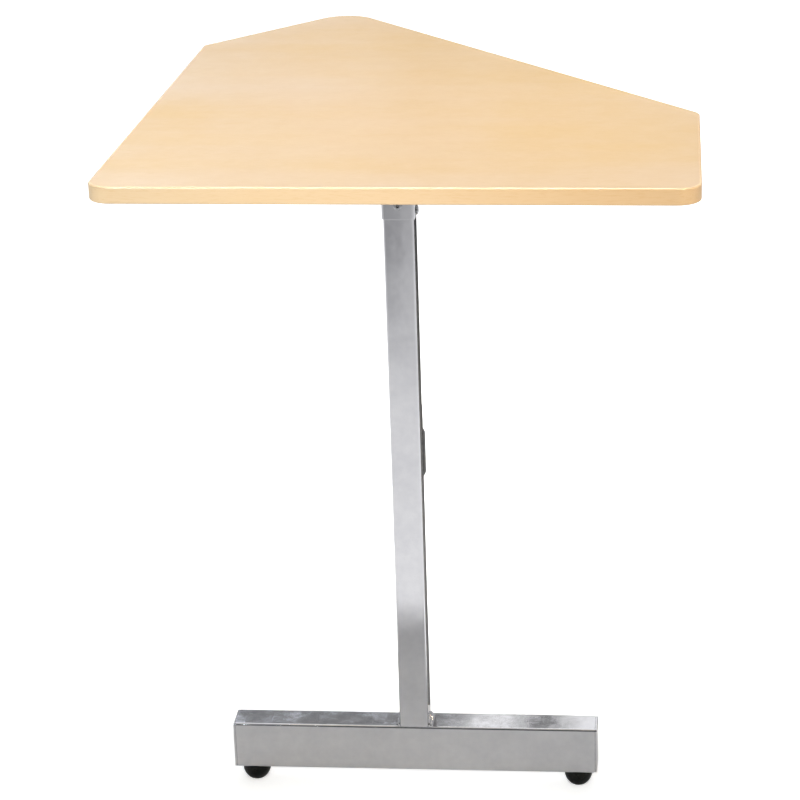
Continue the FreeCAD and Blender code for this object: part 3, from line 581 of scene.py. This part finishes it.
def band_section():
    """(inset, height) round the band's section, from its inner top edge outwards and down."""
    angles = [math.pi / 2 * i / BAND_STEPS for i in range(BAND_STEPS + 1)]
    quarter = [(BAND_ROUND * (1 - math.sin(a)), BAND_ROUND * (1 - math.cos(a))) for a in angles]
    upper = [(across, band_high.z - down) for across, down in quarter]
    lower = [(down, band_low.z + across) for across, down in quarter]
    return [(BAND, band_high.z - TRIM)] + upper + lower + [(BAND, band_low.z)]


def sheet_shell(z_edge, z_face):
    """A thin sheet inside the band, from its glued side to its face, with a tiny eased edge."""
    inset, upwards = BAND + HAIRLINE, z_face > z_edge
    step = EASE if upwards else -EASE
    rings = [at_height(top_ring(inset), z_edge), at_height(top_ring(inset), z_face - step),
             at_height(top_ring(inset + 0.04 * MM), z_face - step / 3),
             at_height(top_ring(inset + EASE), z_face)]
    return stack(rings if upwards else rings[::-1])


band_rings = [at_height(top_ring(inset), z) for inset, z in band_section()]
band = make_piece("edge_band_trimmed", stack(band_rings[::-1], closed=True), PAINTED_LIGHT_EDGE_BAND, "edge_band",
                  crease=50)
laminate_low, laminate_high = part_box("top_laminate")
make_piece("top_sheet", sheet_shell(laminate_low.z, laminate_high.z), LAMINATE,
           "top_laminate")
backing_low, backing_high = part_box("backing_laminate")
make_piece("backing_sheet", sheet_shell(backing_high.z, backing_low.z), BACKING,
           "backing_laminate")
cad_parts["top_core"].data.materials[0] = CHIPS
print("top:", [round(v / MM, 1) for v in band.dimensions], "mm")

# %% [markdown]
# ## Column and foot bar
# Both are drawn steel tube. A tube's corners are always rounded by the rolls that formed it, and
# that radius catches a thin bright line down the whole length, so it's worth real geometry.

# %% Tubes
TUBE_WALL, TUBE_BORE_RADIUS = 2 * MM, 1 * MM
POST_RADIUS, BAR_RADIUS = 2.6 * MM, 3 * MM


def ring_along_x(ring, x, y, z):
    """A flat outline stood upright across the X axis."""
    return [(x, y + u, z + v) for u, v in ring]


def tube_up(box_low, box_high, radius, ease=0.3 * MM):
    """Open square tube standing up between the two corners of a box."""
    centre = (box_low + box_high) / 2
    half_x, half_y = (box_high.x - box_low.x) / 2, (box_high.y - box_low.y) / 2
    outer = rounded_rectangle(half_x, half_y, radius)
    eased = rounded_rectangle(half_x - ease, half_y - ease, radius - ease * 2 / 3)
    inner = rounded_rectangle(half_x - TUBE_WALL, half_y - TUBE_WALL, TUBE_BORE_RADIUS)
    low, high = box_low.z, box_high.z
    rings = [(inner, low), (inner, high), (eased, high), (outer, high - ease), (outer, low + ease),
             (eased, low)]
    return stack([at_height(ring, z, centre) for ring, z in rings], closed=True)


def bar_along_x(box_low, box_high, radius, ease, wall=0):
    """Tube (or a solid end cap, with no wall) lying along X between the corners of a box."""
    centre = (box_low + box_high) / 2
    half_y, half_z = (box_high.y - box_low.y) / 2, (box_high.z - box_low.z) / 2
    outer = rounded_rectangle(half_y, half_z, radius)
    eased = rounded_rectangle(half_y - ease, half_z - ease, radius - ease / 2)
    inner = rounded_rectangle(half_y - wall, half_z - wall, TUBE_BORE_RADIUS)
    low, high = box_low.x, box_high.x
    rings = [(eased, low), (outer, low + ease), (outer, high - ease), (eased, high)]
    if wall:
        rings += [(inner, high), (inner, low)]
    standing = [ring_along_x(ring, x, centre.y, centre.z) for ring, x in rings]
    return stack(standing, closed=bool(wall))


post_low, post_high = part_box("column_tube")
column = make_piece("column_drawn_tube", tube_up(post_low, post_high, POST_RADIUS), CHROME,
                    "column_tube")
bar_low, bar_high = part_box("foot_bar")
foot_bar = make_piece("foot_bar_tube",
                      bar_along_x(bar_low, bar_high, BAR_RADIUS, 0.25 * MM, TUBE_WALL), CHROME,
                      "foot_bar")
for side in ("left", "right"):
    cap_low, cap_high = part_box(f"{side}_end_cap")
    cap_shell = bar_along_x(cap_low, cap_high, BAR_RADIUS, 0.8 * MM)
    make_piece(f"{side}_cap_plate", cap_shell, CHROME, f"{side}_end_cap")
print("column", round(column.dimensions.z / MM), "mm, bar", round(foot_bar.dimensions.x / MM), "mm")

# %% [markdown]
# ## Socket, plate and gussets
# The column slides into a short socket that is welded to a steel plate under the board. Four
# gussets stop the plate from folding where the load is greatest. All of it was cut and welded
# before plating, so its edges are only lightly broken.

# %% The carrier under the top
socket_low, socket_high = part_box("column_socket")
SOCKET_WALL, SOCKET_RADIUS, LIP = 1.5 * MM, 4.1 * MM, 0.8 * MM
PLATE_RADIUS = 15 * MM
GUSSET, GUSSET_LEG, GUSSET_TOE, GUSSET_SNIP = 4 * MM, 62 * MM, 8 * MM, 7 * MM


def socket_shell():
    """Square socket whose lower rim is rolled to a soft lip."""
    centre = (socket_low + socket_high) / 2
    half = (socket_high.x - socket_low.x) / 2
    inner = rounded_rectangle(half - SOCKET_WALL, half - SOCKET_WALL, SOCKET_RADIUS - SOCKET_WALL)
    outer = rounded_rectangle(half, half, SOCKET_RADIUS)
    rings = [(inner, socket_low.z), (inner, socket_high.z), (outer, socket_high.z)]
    for i in range(5):
        angle = math.pi / 2 * i / 4
        inset = LIP * (1 - math.cos(angle))
        ring = rounded_rectangle(half - inset, half - inset, SOCKET_RADIUS - inset)
        rings.append((ring, socket_low.z + LIP * (1 - math.sin(angle))))
    return stack([at_height(ring, z, centre) for ring, z in rings], closed=True)


make_piece("socket_sleeve", socket_shell(), CHROME, "column_socket")
plate_low, plate_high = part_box("mounting_plate")
plate_middle = (plate_low + plate_high) / 2
plate_half = (plate_high - plate_low) / 2
plate_ring = rounded_rectangle(plate_half.x, plate_half.y, PLATE_RADIUS, 12)
plate_shell = stack([at_height(plate_ring, z, plate_middle) for z in (plate_low.z, plate_high.z)])
plate = make_piece("plate_under_top", plate_shell, CHROME, "mounting_plate")
ease_edges(plate, 0.5 * MM)


def gusset_shell(angle):
    """Snipped triangle standing out from the socket in one of four directions."""
    outline = [(GUSSET_SNIP, 0), (GUSSET_LEG, 0), (GUSSET_LEG, -GUSSET_TOE),
               (GUSSET_TOE, -GUSSET_LEG), (0, -GUSSET_LEG), (0, -GUSSET_SNIP)]
    turn = Matrix.Rotation(math.radians(angle), 3, "Z")
    reach = (socket_high.x - socket_low.x) / 2
    middle = Vector((plate_middle.x, (socket_low.y + socket_high.y) / 2, plate_low.z))
    return stack([[middle + turn @ Vector((reach + out, side, up)) for out, up in outline]
                  for side in (GUSSET / 2, -GUSSET / 2)])


GUSSET_DIRECTIONS = {"right_gusset": 0, "left_gusset": 180, "rear_gusset": 90, "front_gusset": -90}
for node, angle in GUSSET_DIRECTIONS.items():
    gusset = make_piece(node.replace("gusset", "web"), gusset_shell(angle), CHROME, node)
    ease_edges(gusset, 0.4 * MM)
print("carrier ready, plate", [round(v / MM) for v in plate.dimensions], "mm")

# %% [markdown]
# ## Weld beads
# A hand weld is a row of small overlapping puddles. Each puddle cools into a crescent that points
# back along the run. Here every ring of the bead is bent into that crescent and its section swells
# and sinks once per puddle. Small random steps keep it from looking machined.

# %% A fillet weld along a straight run
def bead_rings(start, end, out, up, leg_out, leg_up, seed, puddle=2.2 * MM):
    """Rings of a fillet bead: `out` and `up` point along its two legs, away from the corner."""
    chance = random.Random(seed)
    along = (end - start).normalized()
    length = (end - start).length
    puddles = max(3, round(length / puddle))
    swell = [chance.uniform(0.86, 1.0) for _ in range(puddles + 1)]
    rings = []
    for i in range(puddles * 8 + 1):
        number, phase = divmod(i / 8, 1)
        size = swell[int(number)] * (0.84 + 0.16 * math.sin(math.pi * min(1, phase * 1.15)) ** 0.5)
        t = i / 8 / puddles
        taper = min(1, math.sqrt(max(0.0, min(t, 1 - t) * length / (1.2 * MM)) + 0.05))
        ring = [start + along * (t * length)]
        for j in range(9):
            angle = math.pi / 2 * j / 8
            reach = (0.74 + 0.26 * abs(math.cos(2 * angle))) * size * taper
            lag = -0.9 * MM * math.sin(2 * angle) * min(1, 4 * t) * min(1, 4 * (1 - t))
            point = start + along * (t * length + lag)
            ring.append(point + out * (leg_out * math.cos(angle) * reach)
                        + up * (leg_up * math.sin(angle) * reach))
        rings.append(ring)
    return rings


X, Y, Z = Vector((1, 0, 0)), Vector((0, 1, 0)), Vector((0, 0, 1))
WELD_RUN, WELD_RISE, WELD_BACK, SOCKET_WELD = 6 * MM, 5 * MM, 2.4 * MM, 4 * MM
START_IN = 1 * MM
foot = post_low.z
front_right = Vector((post_high.x, post_low.y + START_IN, foot))
front_left = Vector((post_low.x, post_low.y + START_IN, foot))
rear_right = Vector((post_high.x, post_high.y, foot))
rear_left = Vector((post_low.x, post_high.y, foot))


def column_bead(node, start, end, out, leg, seed):
    """One bead between the column and the foot bar."""
    rings = bead_rings(start, end, out, Z, leg, WELD_RISE, seed)
    make_piece(node.replace("weld", "bead"), stack(rings), WELD_CHROME, node)


column_bead("right_column_weld", front_right, rear_right, X, WELD_RUN, 3)
column_bead("left_column_weld", rear_left, front_left, -X, WELD_RUN, 5)
column_bead("rear_column_weld", rear_right, rear_left, Y, WELD_BACK, 7)

ends_x, ends_y = (socket_high.x, socket_low.x), (socket_high.y, socket_low.y)
corners = [Vector((ends_x[i], ends_y[j], plate_low.z)) for i, j in ((0, 0), (1, 0), (1, 1), (0, 1))]
runs = []
for i, out in enumerate((Y, -X, -Y, X)):
    rings = bead_rings(corners[i], corners[(i + 1) % 4], out, -Z, SOCKET_WELD, SOCKET_WELD, 11 + i)
    runs.append(stack(rings))
make_piece("socket_weld_run", merge(*runs), WELD_CHROME, "socket_weld_bead")
print("weld beads ready")

# %% [markdown]
# ## Rear bracket
# A flat bar with two ears is held to the back of the column by two rivet nuts. From the front only
# the tips of the ears show, one higher than the other. The nuts can take two screws from behind,
# so that a table this narrow at the floor can be tied to something that stands firm.

# %% Bracket plate and rivet nuts
bracket_low, bracket_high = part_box("rear_bracket")
RIGHT_EAR_TOP, LEFT_EAR_LOW, EAR_SLOPE = 462 * MM, 448 * MM, 5 * MM
BRACKET_PITCH = 50 * MM


def bracket_outline():
    """(x, z) round the bracket: as wide as the column, with an ear low right and one high left."""
    waist, ear = (post_high.x - post_low.x) / 2, (bracket_high.x - bracket_low.x) / 2
    low, high = bracket_low.z, bracket_high.z
    right = [(waist, low), (ear, low + EAR_SLOPE), (ear, RIGHT_EAR_TOP - EAR_SLOPE),
             (waist, RIGHT_EAR_TOP), (waist, high)]
    left = [(-waist, high), (-ear, high - EAR_SLOPE), (-ear, LEFT_EAR_LOW + EAR_SLOPE),
            (-waist, LEFT_EAR_LOW), (-waist, low)]
    return right + left


bracket_middle = (bracket_low + bracket_high) / 2
bracket_rings = [[(bracket_middle.x + x, y, z) for x, z in bracket_outline()]
                 for y in (bracket_high.y, bracket_low.y)]
# the bracket's finish carries painted shade
bracket = make_piece("bracket_flat", stack(bracket_rings), SHADED_BRACKET_ZINC, "rear_bracket")
ease_edges(bracket, 0.5 * MM)


FACINGS = {"Z": Matrix.Identity(3), "-Z": Matrix.Rotation(math.pi, 3, "X"),
           "Y": Matrix.Rotation(-math.pi / 2, 3, "X"), "-Y": Matrix.Rotation(math.pi / 2, 3, "X"),
           "X": Matrix.Rotation(math.pi / 2, 3, "Y")}


def turned(profile, place, axis="Z", ring_of=circle):
    """Rings from a profile of (radius, distance along the axis) in mm, set at a place."""
    facing = FACINGS[axis]
    return [[place + facing @ Vector((u, v, h * MM)) for u, v in ring_of(r * MM)]
            for r, h in profile]


NUT_SECTION = [(3, -15), (4.5, -15), (4.5, 0), (6.3, 0), (6.5, 0.2), (6.5, 0.75), (6.25, 1),
               (3.3, 1), (3, 0.7)]
rivet_nuts = []
for rise in (-BRACKET_PITCH / 2, BRACKET_PITCH / 2):
    seat = Vector((bracket_middle.x, bracket_high.y, bracket_middle.z + rise))
    rivet_nuts.append(stack(turned(NUT_SECTION, seat, "Y"), closed=True))
make_piece("rivet_nuts", merge(*rivet_nuts), ZINC, "bracket_inserts", crease=30)
print("bracket", [round(v / MM, 1) for v in bracket.dimensions], "mm")

# %% [markdown]
# ## Screws
# Every head here is a stack of rings whose outline changes from round to the shape of the driver
# and then goes down into the recess. No cutting is needed, so the mesh stays clean at the rim,
# where the light is brightest.

# %% Driver recesses and screw heads
def cross_recess(reach, steps=48):
    """Outline of a cross driver: four narrow arms."""
    ring = []
    for i in range(steps):
        angle = 2 * math.pi * i / steps
        near_arm = abs((angle + math.pi / 4) % (math.pi / 2) - math.pi / 4)
        half_arm = 0.34 * reach
        radius = min(reach, half_arm / math.sin(near_arm)) if near_arm > 0.3 else reach
        radius = max(radius, half_arm * 1.05)
        ring.append((radius * math.cos(angle), radius * math.sin(angle)))
    return ring


def head_rings(profile, recess, place, axis):
    """A turned head, then its recess: recess steps are (outline, reach, height on the head)."""
    rings = turned(profile, place, axis)
    for outline, reach, height in recess:
        rings += turned([(reach, height)], place, axis, outline)
    return rings


BUTTON = [(3, -11), (3, 0), (4.75, 0), (5, 0.25), (5, 1.2), (4.75, 1.95), (4.2, 2.4), (3.4, 2.6),
          (2.7, 2.6)]
BUTTON_RECESS = [(hexagon, 3.75, 2.6), (hexagon, 3.4, 2.3), (hexagon, 3.4, 1.0)]
PAN = [(0.4, -13), (2.2, -8.6), (2.2, 0), (4.4, 0), (4.6, 0.25), (4.55, 0.9), (4.2, 1.6),
       (3.5, 2.15), (2.8, 2.4)]
PAN_RECESS = [(cross_recess, 2.35, 2.38), (cross_recess, 2.1, 2.0), (cross_recess, 1.0, 0.5)]
FRONT_SCREW_RISE, SIDE_SCREW_RISE = 17 * MM, 7 * MM
SCREW_MARGIN, SCREW_ROWS = 20 * MM, 4

socket_middle = (socket_low + socket_high) / 2
front_seat = Vector((plate_middle.x, socket_low.y, socket_low.z + FRONT_SCREW_RISE))
side_seat = Vector((socket_high.x, socket_middle.y, socket_low.z + SIDE_SCREW_RISE))
for side, seat, axis in (("front", front_seat, "-Y"), ("side", side_seat, "X")):
    button = stack(head_rings(BUTTON, BUTTON_RECESS, seat, axis))
    make_piece(f"{side}_clamp_screw", button, ZINC, f"socket_{side}_screw",
               crease=28)

wood_screws = []
across, along = plate_half.x - SCREW_MARGIN, plate_half.y - SCREW_MARGIN
for side in (-across, across):
    for row in range(SCREW_ROWS):
        step = along * (2 * row / (SCREW_ROWS - 1) - 1)
        seat = Vector((plate_middle.x + side, plate_middle.y + step, plate_low.z))
        wood_screws.append(stack(head_rings(PAN, PAN_RECESS, seat, "-Z")))
make_piece("plate_wood_screws", merge(*wood_screws), ZINC, "top_screws", crease=28)
print("screws:", len(wood_screws), "in the board, 2 in the socket")

# %% [markdown]
# ## Screw glides
# Each glide is a round-bottomed plastic foot on a threaded stud. The stud runs up into a bush in
# the bar and a thin nut locks it. Turning the stud by its hexagon raises that end of the table, so
# the thread is real geometry with the right pitch.

# %% Plastic foot, stud with a rolled thread, lock nut
PITCH, THREAD_DEPTH = 1.25, 0.68
STUD_RADIUS, STUD_LOW, STUD_TOP = 4, 5.2, 52
HEX_FLATS, HEX_HEIGHT, HEX_RISE = 11, 4, 11.3
NUT_FLATS, NUT_HEIGHT, NUT_RISE = 13, 4, 18
RIM, PAD, BEND, BOWL_HEIGHT = 17.5, 10.0, 16.0, 21.0
RECESS, RECESS_FLOOR, BORE = 10.0, 11.0, 4.1


def thread_rings(place, low, high, radius, steps_per_turn=10, points=30):
    """Rings whose radius follows a helix, fading out at both ends; sizes are in mm."""
    rings = []
    count = int((high - low) / PITCH * steps_per_turn)
    for i in range(count + 1):
        h = low + (high - low) * i / count
        fade = min(1, (high - h) / PITCH, (h - low) / PITCH)
        ring = []
        for j in range(points):
            angle = 2 * math.pi * j / points
            phase = (h / PITCH - j / points) % 1
            groove = THREAD_DEPTH * fade * (1 - min(1, abs(phase - 0.5) * 2.6))
            reach = (radius - groove - 0.25 * (1 - min(1, fade * 2))) * MM
            ring.append(place + Vector((reach * math.cos(angle), reach * math.sin(angle), h * MM)))
        rings.append(ring)
    return rings


def bowl_profile():
    """Half section of the plastic foot, from its pad up and over the rim into the recess."""
    chord = (RIM ** 2 - PAD ** 2 - BEND ** 2) / (2 * (RIM - PAD))
    radius = RIM - chord
    start = math.atan2(-BEND, PAD - chord)
    pad = [(2, 0.35), (5.5, 0.35), (6, 0), (PAD - 0.6, 0)]
    bowl = []
    for i in range(13):
        angle = start * (1 - i / 12)
        height = max(0.12, BEND + radius * math.sin(angle))
        bowl.append((chord + radius * math.cos(angle), height))
    mould_line = [(RIM, BEND + 1.6), (RIM - 0.12, BEND + 1.75), (RIM, BEND + 1.9)]
    rim = [(RIM, BOWL_HEIGHT - 0.7), (RIM - 0.25, BOWL_HEIGHT - 0.15), (RIM - 0.8, BOWL_HEIGHT),
           (RECESS + 0.6, BOWL_HEIGHT), (RECESS + 0.1, BOWL_HEIGHT - 0.2)]
    recess = [(RECESS, BOWL_HEIGHT - 0.6), (RECESS, RECESS_FLOOR + 0.3),
              (RECESS - 0.3, RECESS_FLOOR), (BORE, RECESS_FLOOR)]
    return pad + bowl + mould_line + rim + recess


def chamfered_nut(flats, height):
    """(corner radius, height) of a nut's rings: its corners are turned down at both ends."""
    full, turned_down = flats / math.sqrt(3), flats / 2 * 0.985
    lower = [(turned_down, 0), (full * 0.96, 0.12 * height), (full, 0.26 * height)]
    return lower + [(limit, height - h) for limit, h in reversed(lower)]


def nut_rings(place, flats, height, low):
    """A nut's rings at a place, starting `low` mm above it."""
    rings = []
    for limit, h in chamfered_nut(flats, height):
        ring = hexagon(flats * MM, limit * MM)
        rings.append([place + Vector((u, v, (low + h) * MM)) for u, v in ring])
    return rings


for side in ("left", "right"):
    base_low, base_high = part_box(f"{side}_glide_base")
    centre = Vector(((base_low.x + base_high.x) / 2, (base_low.y + base_high.y) / 2, 0))
    make_piece(f"{side}_foot_moulding", stack(turned(bowl_profile(), centre)), BLACK,
               f"{side}_glide_base", body=f"{side}_foot", crease=35)
    thread = stack(thread_rings(centre, STUD_LOW, STUD_TOP, STUD_RADIUS))
    stud_hexagon = stack(nut_rings(centre, HEX_FLATS, HEX_HEIGHT, HEX_RISE))
    make_piece(f"{side}_stud_threaded", merge(thread, stud_hexagon), ZINC, f"{side}_glide_stud",
               body=f"{side}_stud", crease=30)
    lock_nut = stack(nut_rings(centre, NUT_FLATS, NUT_HEIGHT, NUT_RISE))
    make_piece(f"{side}_thin_nut", lock_nut, ZINC, f"{side}_lock_nut",
               crease=30)
    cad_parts[f"{side}_glide_bush"].data.materials[0] = ZINC
for node in ("front_weld_nut", "side_weld_nut"):
    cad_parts[node].data.materials[0] = ZINC
print("glides ready")

# %% [markdown]
# ## Floor, light and camera
# Chrome is a picture of the room, so the room is built with care. One soft box hangs over the table and
# throws the shadow of the top on the floor in front of the column: that shadow is the grey at the foot
# of the column, and the lit floor beyond it is the bright middle. Nearer the camera the floor's colour
# turns grey, a painted shade that darkens the column again towards the collar.

# %% Floor
FLOOR_REACH = 30.0
GREY_STARTS, GREY_ENDS = -1.5, -2.4
PALE_STARTS, PALE_ENDS = -3.0, -3.35
GREY_RIGHT, GREY_LEFT, GREY_SLANT = 0.012, -0.022, -0.117


def axes_of(tree, kind="Object"):
    """The X, Y and Z of a piece's own coordinates, or of a direction in the world."""
    place = add(tree, "ShaderNodeTexCoord")
    split = add(tree, "ShaderNodeSeparateXYZ")
    wire(tree, place.outputs[kind], split.inputs[0])
    return split.outputs


def pale_floor():
    """Pale paper with a long field of painted shade in front of the column, weaker on its right half.
    """
    material, tree, shader = start_finish("pale studio floor", Roughness=0.9,
                                          Specular_IOR_Level=0.1)
    shader.inputs["Emission Color"].default_value = (1, 1, 1, 1)
    x, y, _ = axes_of(tree)
    side = math_node(tree, "ADD", x, math_node(tree, "MULTIPLY", y, GREY_SLANT))
    across = remap(tree, side, GREY_RIGHT, GREY_LEFT, 0.25, 1.0)
    along = math_node(tree, "MULTIPLY", remap(tree, y, GREY_STARTS, GREY_ENDS),
                      remap(tree, y, PALE_ENDS, PALE_STARTS))
    shade = math_node(tree, "MULTIPLY", across, along)
    tone = use(tree, WANDER, Patches_per_metre=0.6)
    paper = blend_colours(tree, tone, (0.90, 0.90, 0.90), (0.92, 0.92, 0.92))
    # painted shade: the floor's colour turns grey towards the camera, where the column mirrors it
    wire(tree, blend_colours(tree, shade, paper, (0.52, 0.52, 0.53)), shader.inputs["Base Color"])
    path = add(tree, "ShaderNodeLightPath")
    lift = math_node(tree, "MULTIPLY", path.outputs["Is Camera Ray"], 0.62)
    wire(tree, lift, shader.inputs["Emission Strength"])
    return material


def stage_sheet(name, corners, material):
    """A flat four-cornered sheet that belongs to the stage and not to the table."""
    mesh = bpy.data.meshes.new(name)
    mesh.from_pydata(corners, [], [(0, 1, 2, 3)])
    mesh.materials.append(material)
    piece = bpy.data.objects.new(name, mesh)
    bpy.context.scene.collection.objects.link(piece)
    return piece


far = FLOOR_REACH
floor = stage_sheet("floor", [(-far, -far, 0), (far, -far, 0), (far, far, 0), (-far, far, 0)],
                    pale_floor())
print("floor:", floor.dimensions.x, "m wide")

# %% [markdown]
# The box over the table lights the wood and the floor. The panels behind are there to be mirrored:
# the bar's flat top shows the two halves of the rear box, and the two rear left panels put a cool
# sheen on the left of the board. Two front lamps, one cool and one warm, colour its front edge.

# %% Lights
def soft_light(name, place, aim, width, depth, power, colour=(1, 1, 1), spread=180):
    """A rectangular soft box that looks at a point; a grid on it can narrow its spread."""
    light = bpy.data.lights.new(name, "AREA")
    light.shape, light.size, light.size_y = "RECTANGLE", width, depth
    light.energy, light.color, light.spread = power, colour, math.radians(spread)
    lamp = bpy.data.objects.new(name, light)
    lamp.location = place
    lamp.rotation_euler = (Vector(aim) - Vector(place)).to_track_quat("-Z", "Y").to_euler()
    bpy.context.scene.collection.objects.link(lamp)


soft_light("box over the table", (0.05, 0.12, 3.6), (0.05, 0.12, 0.0), 0.32, 0.32, 85)
soft_light("background panel", (0.0, 3.3, 3.4), (0.0, 3.3, 0.0), 4.5, 3.5, 50)
soft_light("rear box, left half", (-0.177, 3.0, 1.75), (-0.177, -0.1, 1.2), 0.13, 0.9, 0.3)
soft_light("rear box, right half", (0.32, 3.0, 1.75), (0.32, -0.1, 1.2), 0.62, 0.9, 1.3)
soft_light("rear left panel", (-1.5, 3.2, 1.8), (-0.6, -0.1, 0.9), 1.0, 1.2, 5.0, (0.8, 0.88, 1.0))
soft_light("low rear left panel", (-0.7, 3.2, 1.38), (-0.3, 0.2, 0.9), 0.6, 0.36, 1.2, (0.8, 0.88, 1.0))
soft_light("front box", (-1.2, -2.9, 2.1), (-0.2, -0.43, 0.80), 0.6, 0.6, 2.05,
           (0.9, 0.97, 1.0), spread=20)
soft_light("warm front lamp", (1.7, -2.7, 1.9), (0.25, -0.43, 0.80), 0.5, 0.5, 1.42,
           (1.0, 0.81, 0.52), spread=22)
print("lights:", len(bpy.data.lights))

# %% [markdown]
# The column's right side is seen almost edge on, so it mirrors what stands straight behind it. A black
# card placed there draws the edge, which is an old trick for bright metal. This one is narrow and
# stands just behind the column, where only mirrors can see it: it casts no shadow and lights nothing,
# so the dark line it makes down the column's edge is a painted reflection. It also glows faintly and
# greys towards the floor, which sets the tone of that reflection.

# %% A glowing card that paints a dark reflection down the column's edge
CARD_BLACK_ABOVE, CARD_GREY_BELOW = 0.62, 0.3


def painted_reflection_finish():
    """Painted reflection: matt black that turns to dark grey towards the floor, glowing faintly and a
    little more low down.
    """
    material, tree, shader = start_finish("glowing card for a painted reflection", Roughness=0.9, Specular_IOR_Level=0.0)
    shader.inputs["Emission Color"].default_value = (1, 1, 1, 1)
    tone = use(tree, WANDER, Patches_per_metre=4.0)
    _, _, z = axes_of(tree)
    lower = remap(tree, z, CARD_BLACK_ABOVE, CARD_GREY_BELOW)
    dark = blend_colours(tree, tone, (0.01, 0.01, 0.01), (0.04, 0.04, 0.04))
    wire(tree, blend_colours(tree, lower, dark, (0.12, 0.12, 0.13)), shader.inputs["Base Color"])
    # painted reflection: the card glows though it is no lamp, a little more towards the floor
    glow = remap(tree, z, CARD_BLACK_ABOVE, CARD_GREY_BELOW, 0.05, 0.09)
    wire(tree, glow, shader.inputs["Emission Strength"])
    return material


left, right, behind = post_high.x + 0.2 * MM, post_high.x + 5.5 * MM, post_high.y + 8 * MM
low, high = foot + 8 * MM, plate_low.z
card = stage_sheet("glowing card for a painted reflection", [(left, behind, low), (right, behind, low),
                                  (right, behind, high), (left, behind, high)], painted_reflection_finish())
# seen only in mirrors, so the card is a painted reflection
card.visible_camera = card.visible_diffuse = card.visible_shadow = False
print("glowing card for a painted reflection:", round((right - left) / MM, 1), "mm wide")

# %% [markdown]
# The room itself is dim, so that the lamps shape the metal. It is a little brighter behind the
# table, overhead and to the right, which lifts the surfaces that mirror those walls.

# %% Room
world = bpy.data.worlds.new("pale room")
bpy.context.scene.world = world
world.use_nodes = True
room = world.node_tree
room_x, room_y, room_z = axes_of(room, "Generated")
walls = math_node(room, "ADD", remap(room, room_y, 0.1, -0.9, 0.21, 0.05),
                  remap(room, room_x, 0.3, 0.8, 0.0, 0.22))
ceiling = remap(room, room_z, 0.6, 0.95, 0.0, 0.24)
room.nodes["Background"].inputs["Color"].default_value = (1, 1, 1, 1)
wire(room, math_node(room, "ADD", walls, ceiling), room.nodes["Background"].inputs["Strength"])
bpy.context.scene.view_settings.view_transform = "Standard"
print("room:", len(room.nodes), "nodes")

# %% [markdown]
# The camera stands a little to the right, above the height of the top, and looks down. A long lens
# keeps the column's edges nearly parallel.

# %% Camera
lens = bpy.data.cameras.new("studio camera")
lens.lens, lens.sensor_width = 109.84, 36.0
lens.shift_x = -0.125
camera = bpy.data.objects.new("studio camera", lens)
swing, dip, roll = math.radians(4.238), math.radians(20.365), math.radians(-0.967)
camera.matrix_world = (Matrix.Translation((0.2795, -2.7644, 1.5006)) @ Matrix.Rotation(swing, 4, "Z")
                       @ Matrix.Rotation(math.pi / 2 - dip, 4, "X") @ Matrix.Rotation(roll, 4, "Z"))
bpy.context.scene.collection.objects.link(camera)
bpy.context.scene.camera = camera
print("camera stands", round(camera.matrix_world.translation.z, 2), "m above the floor")
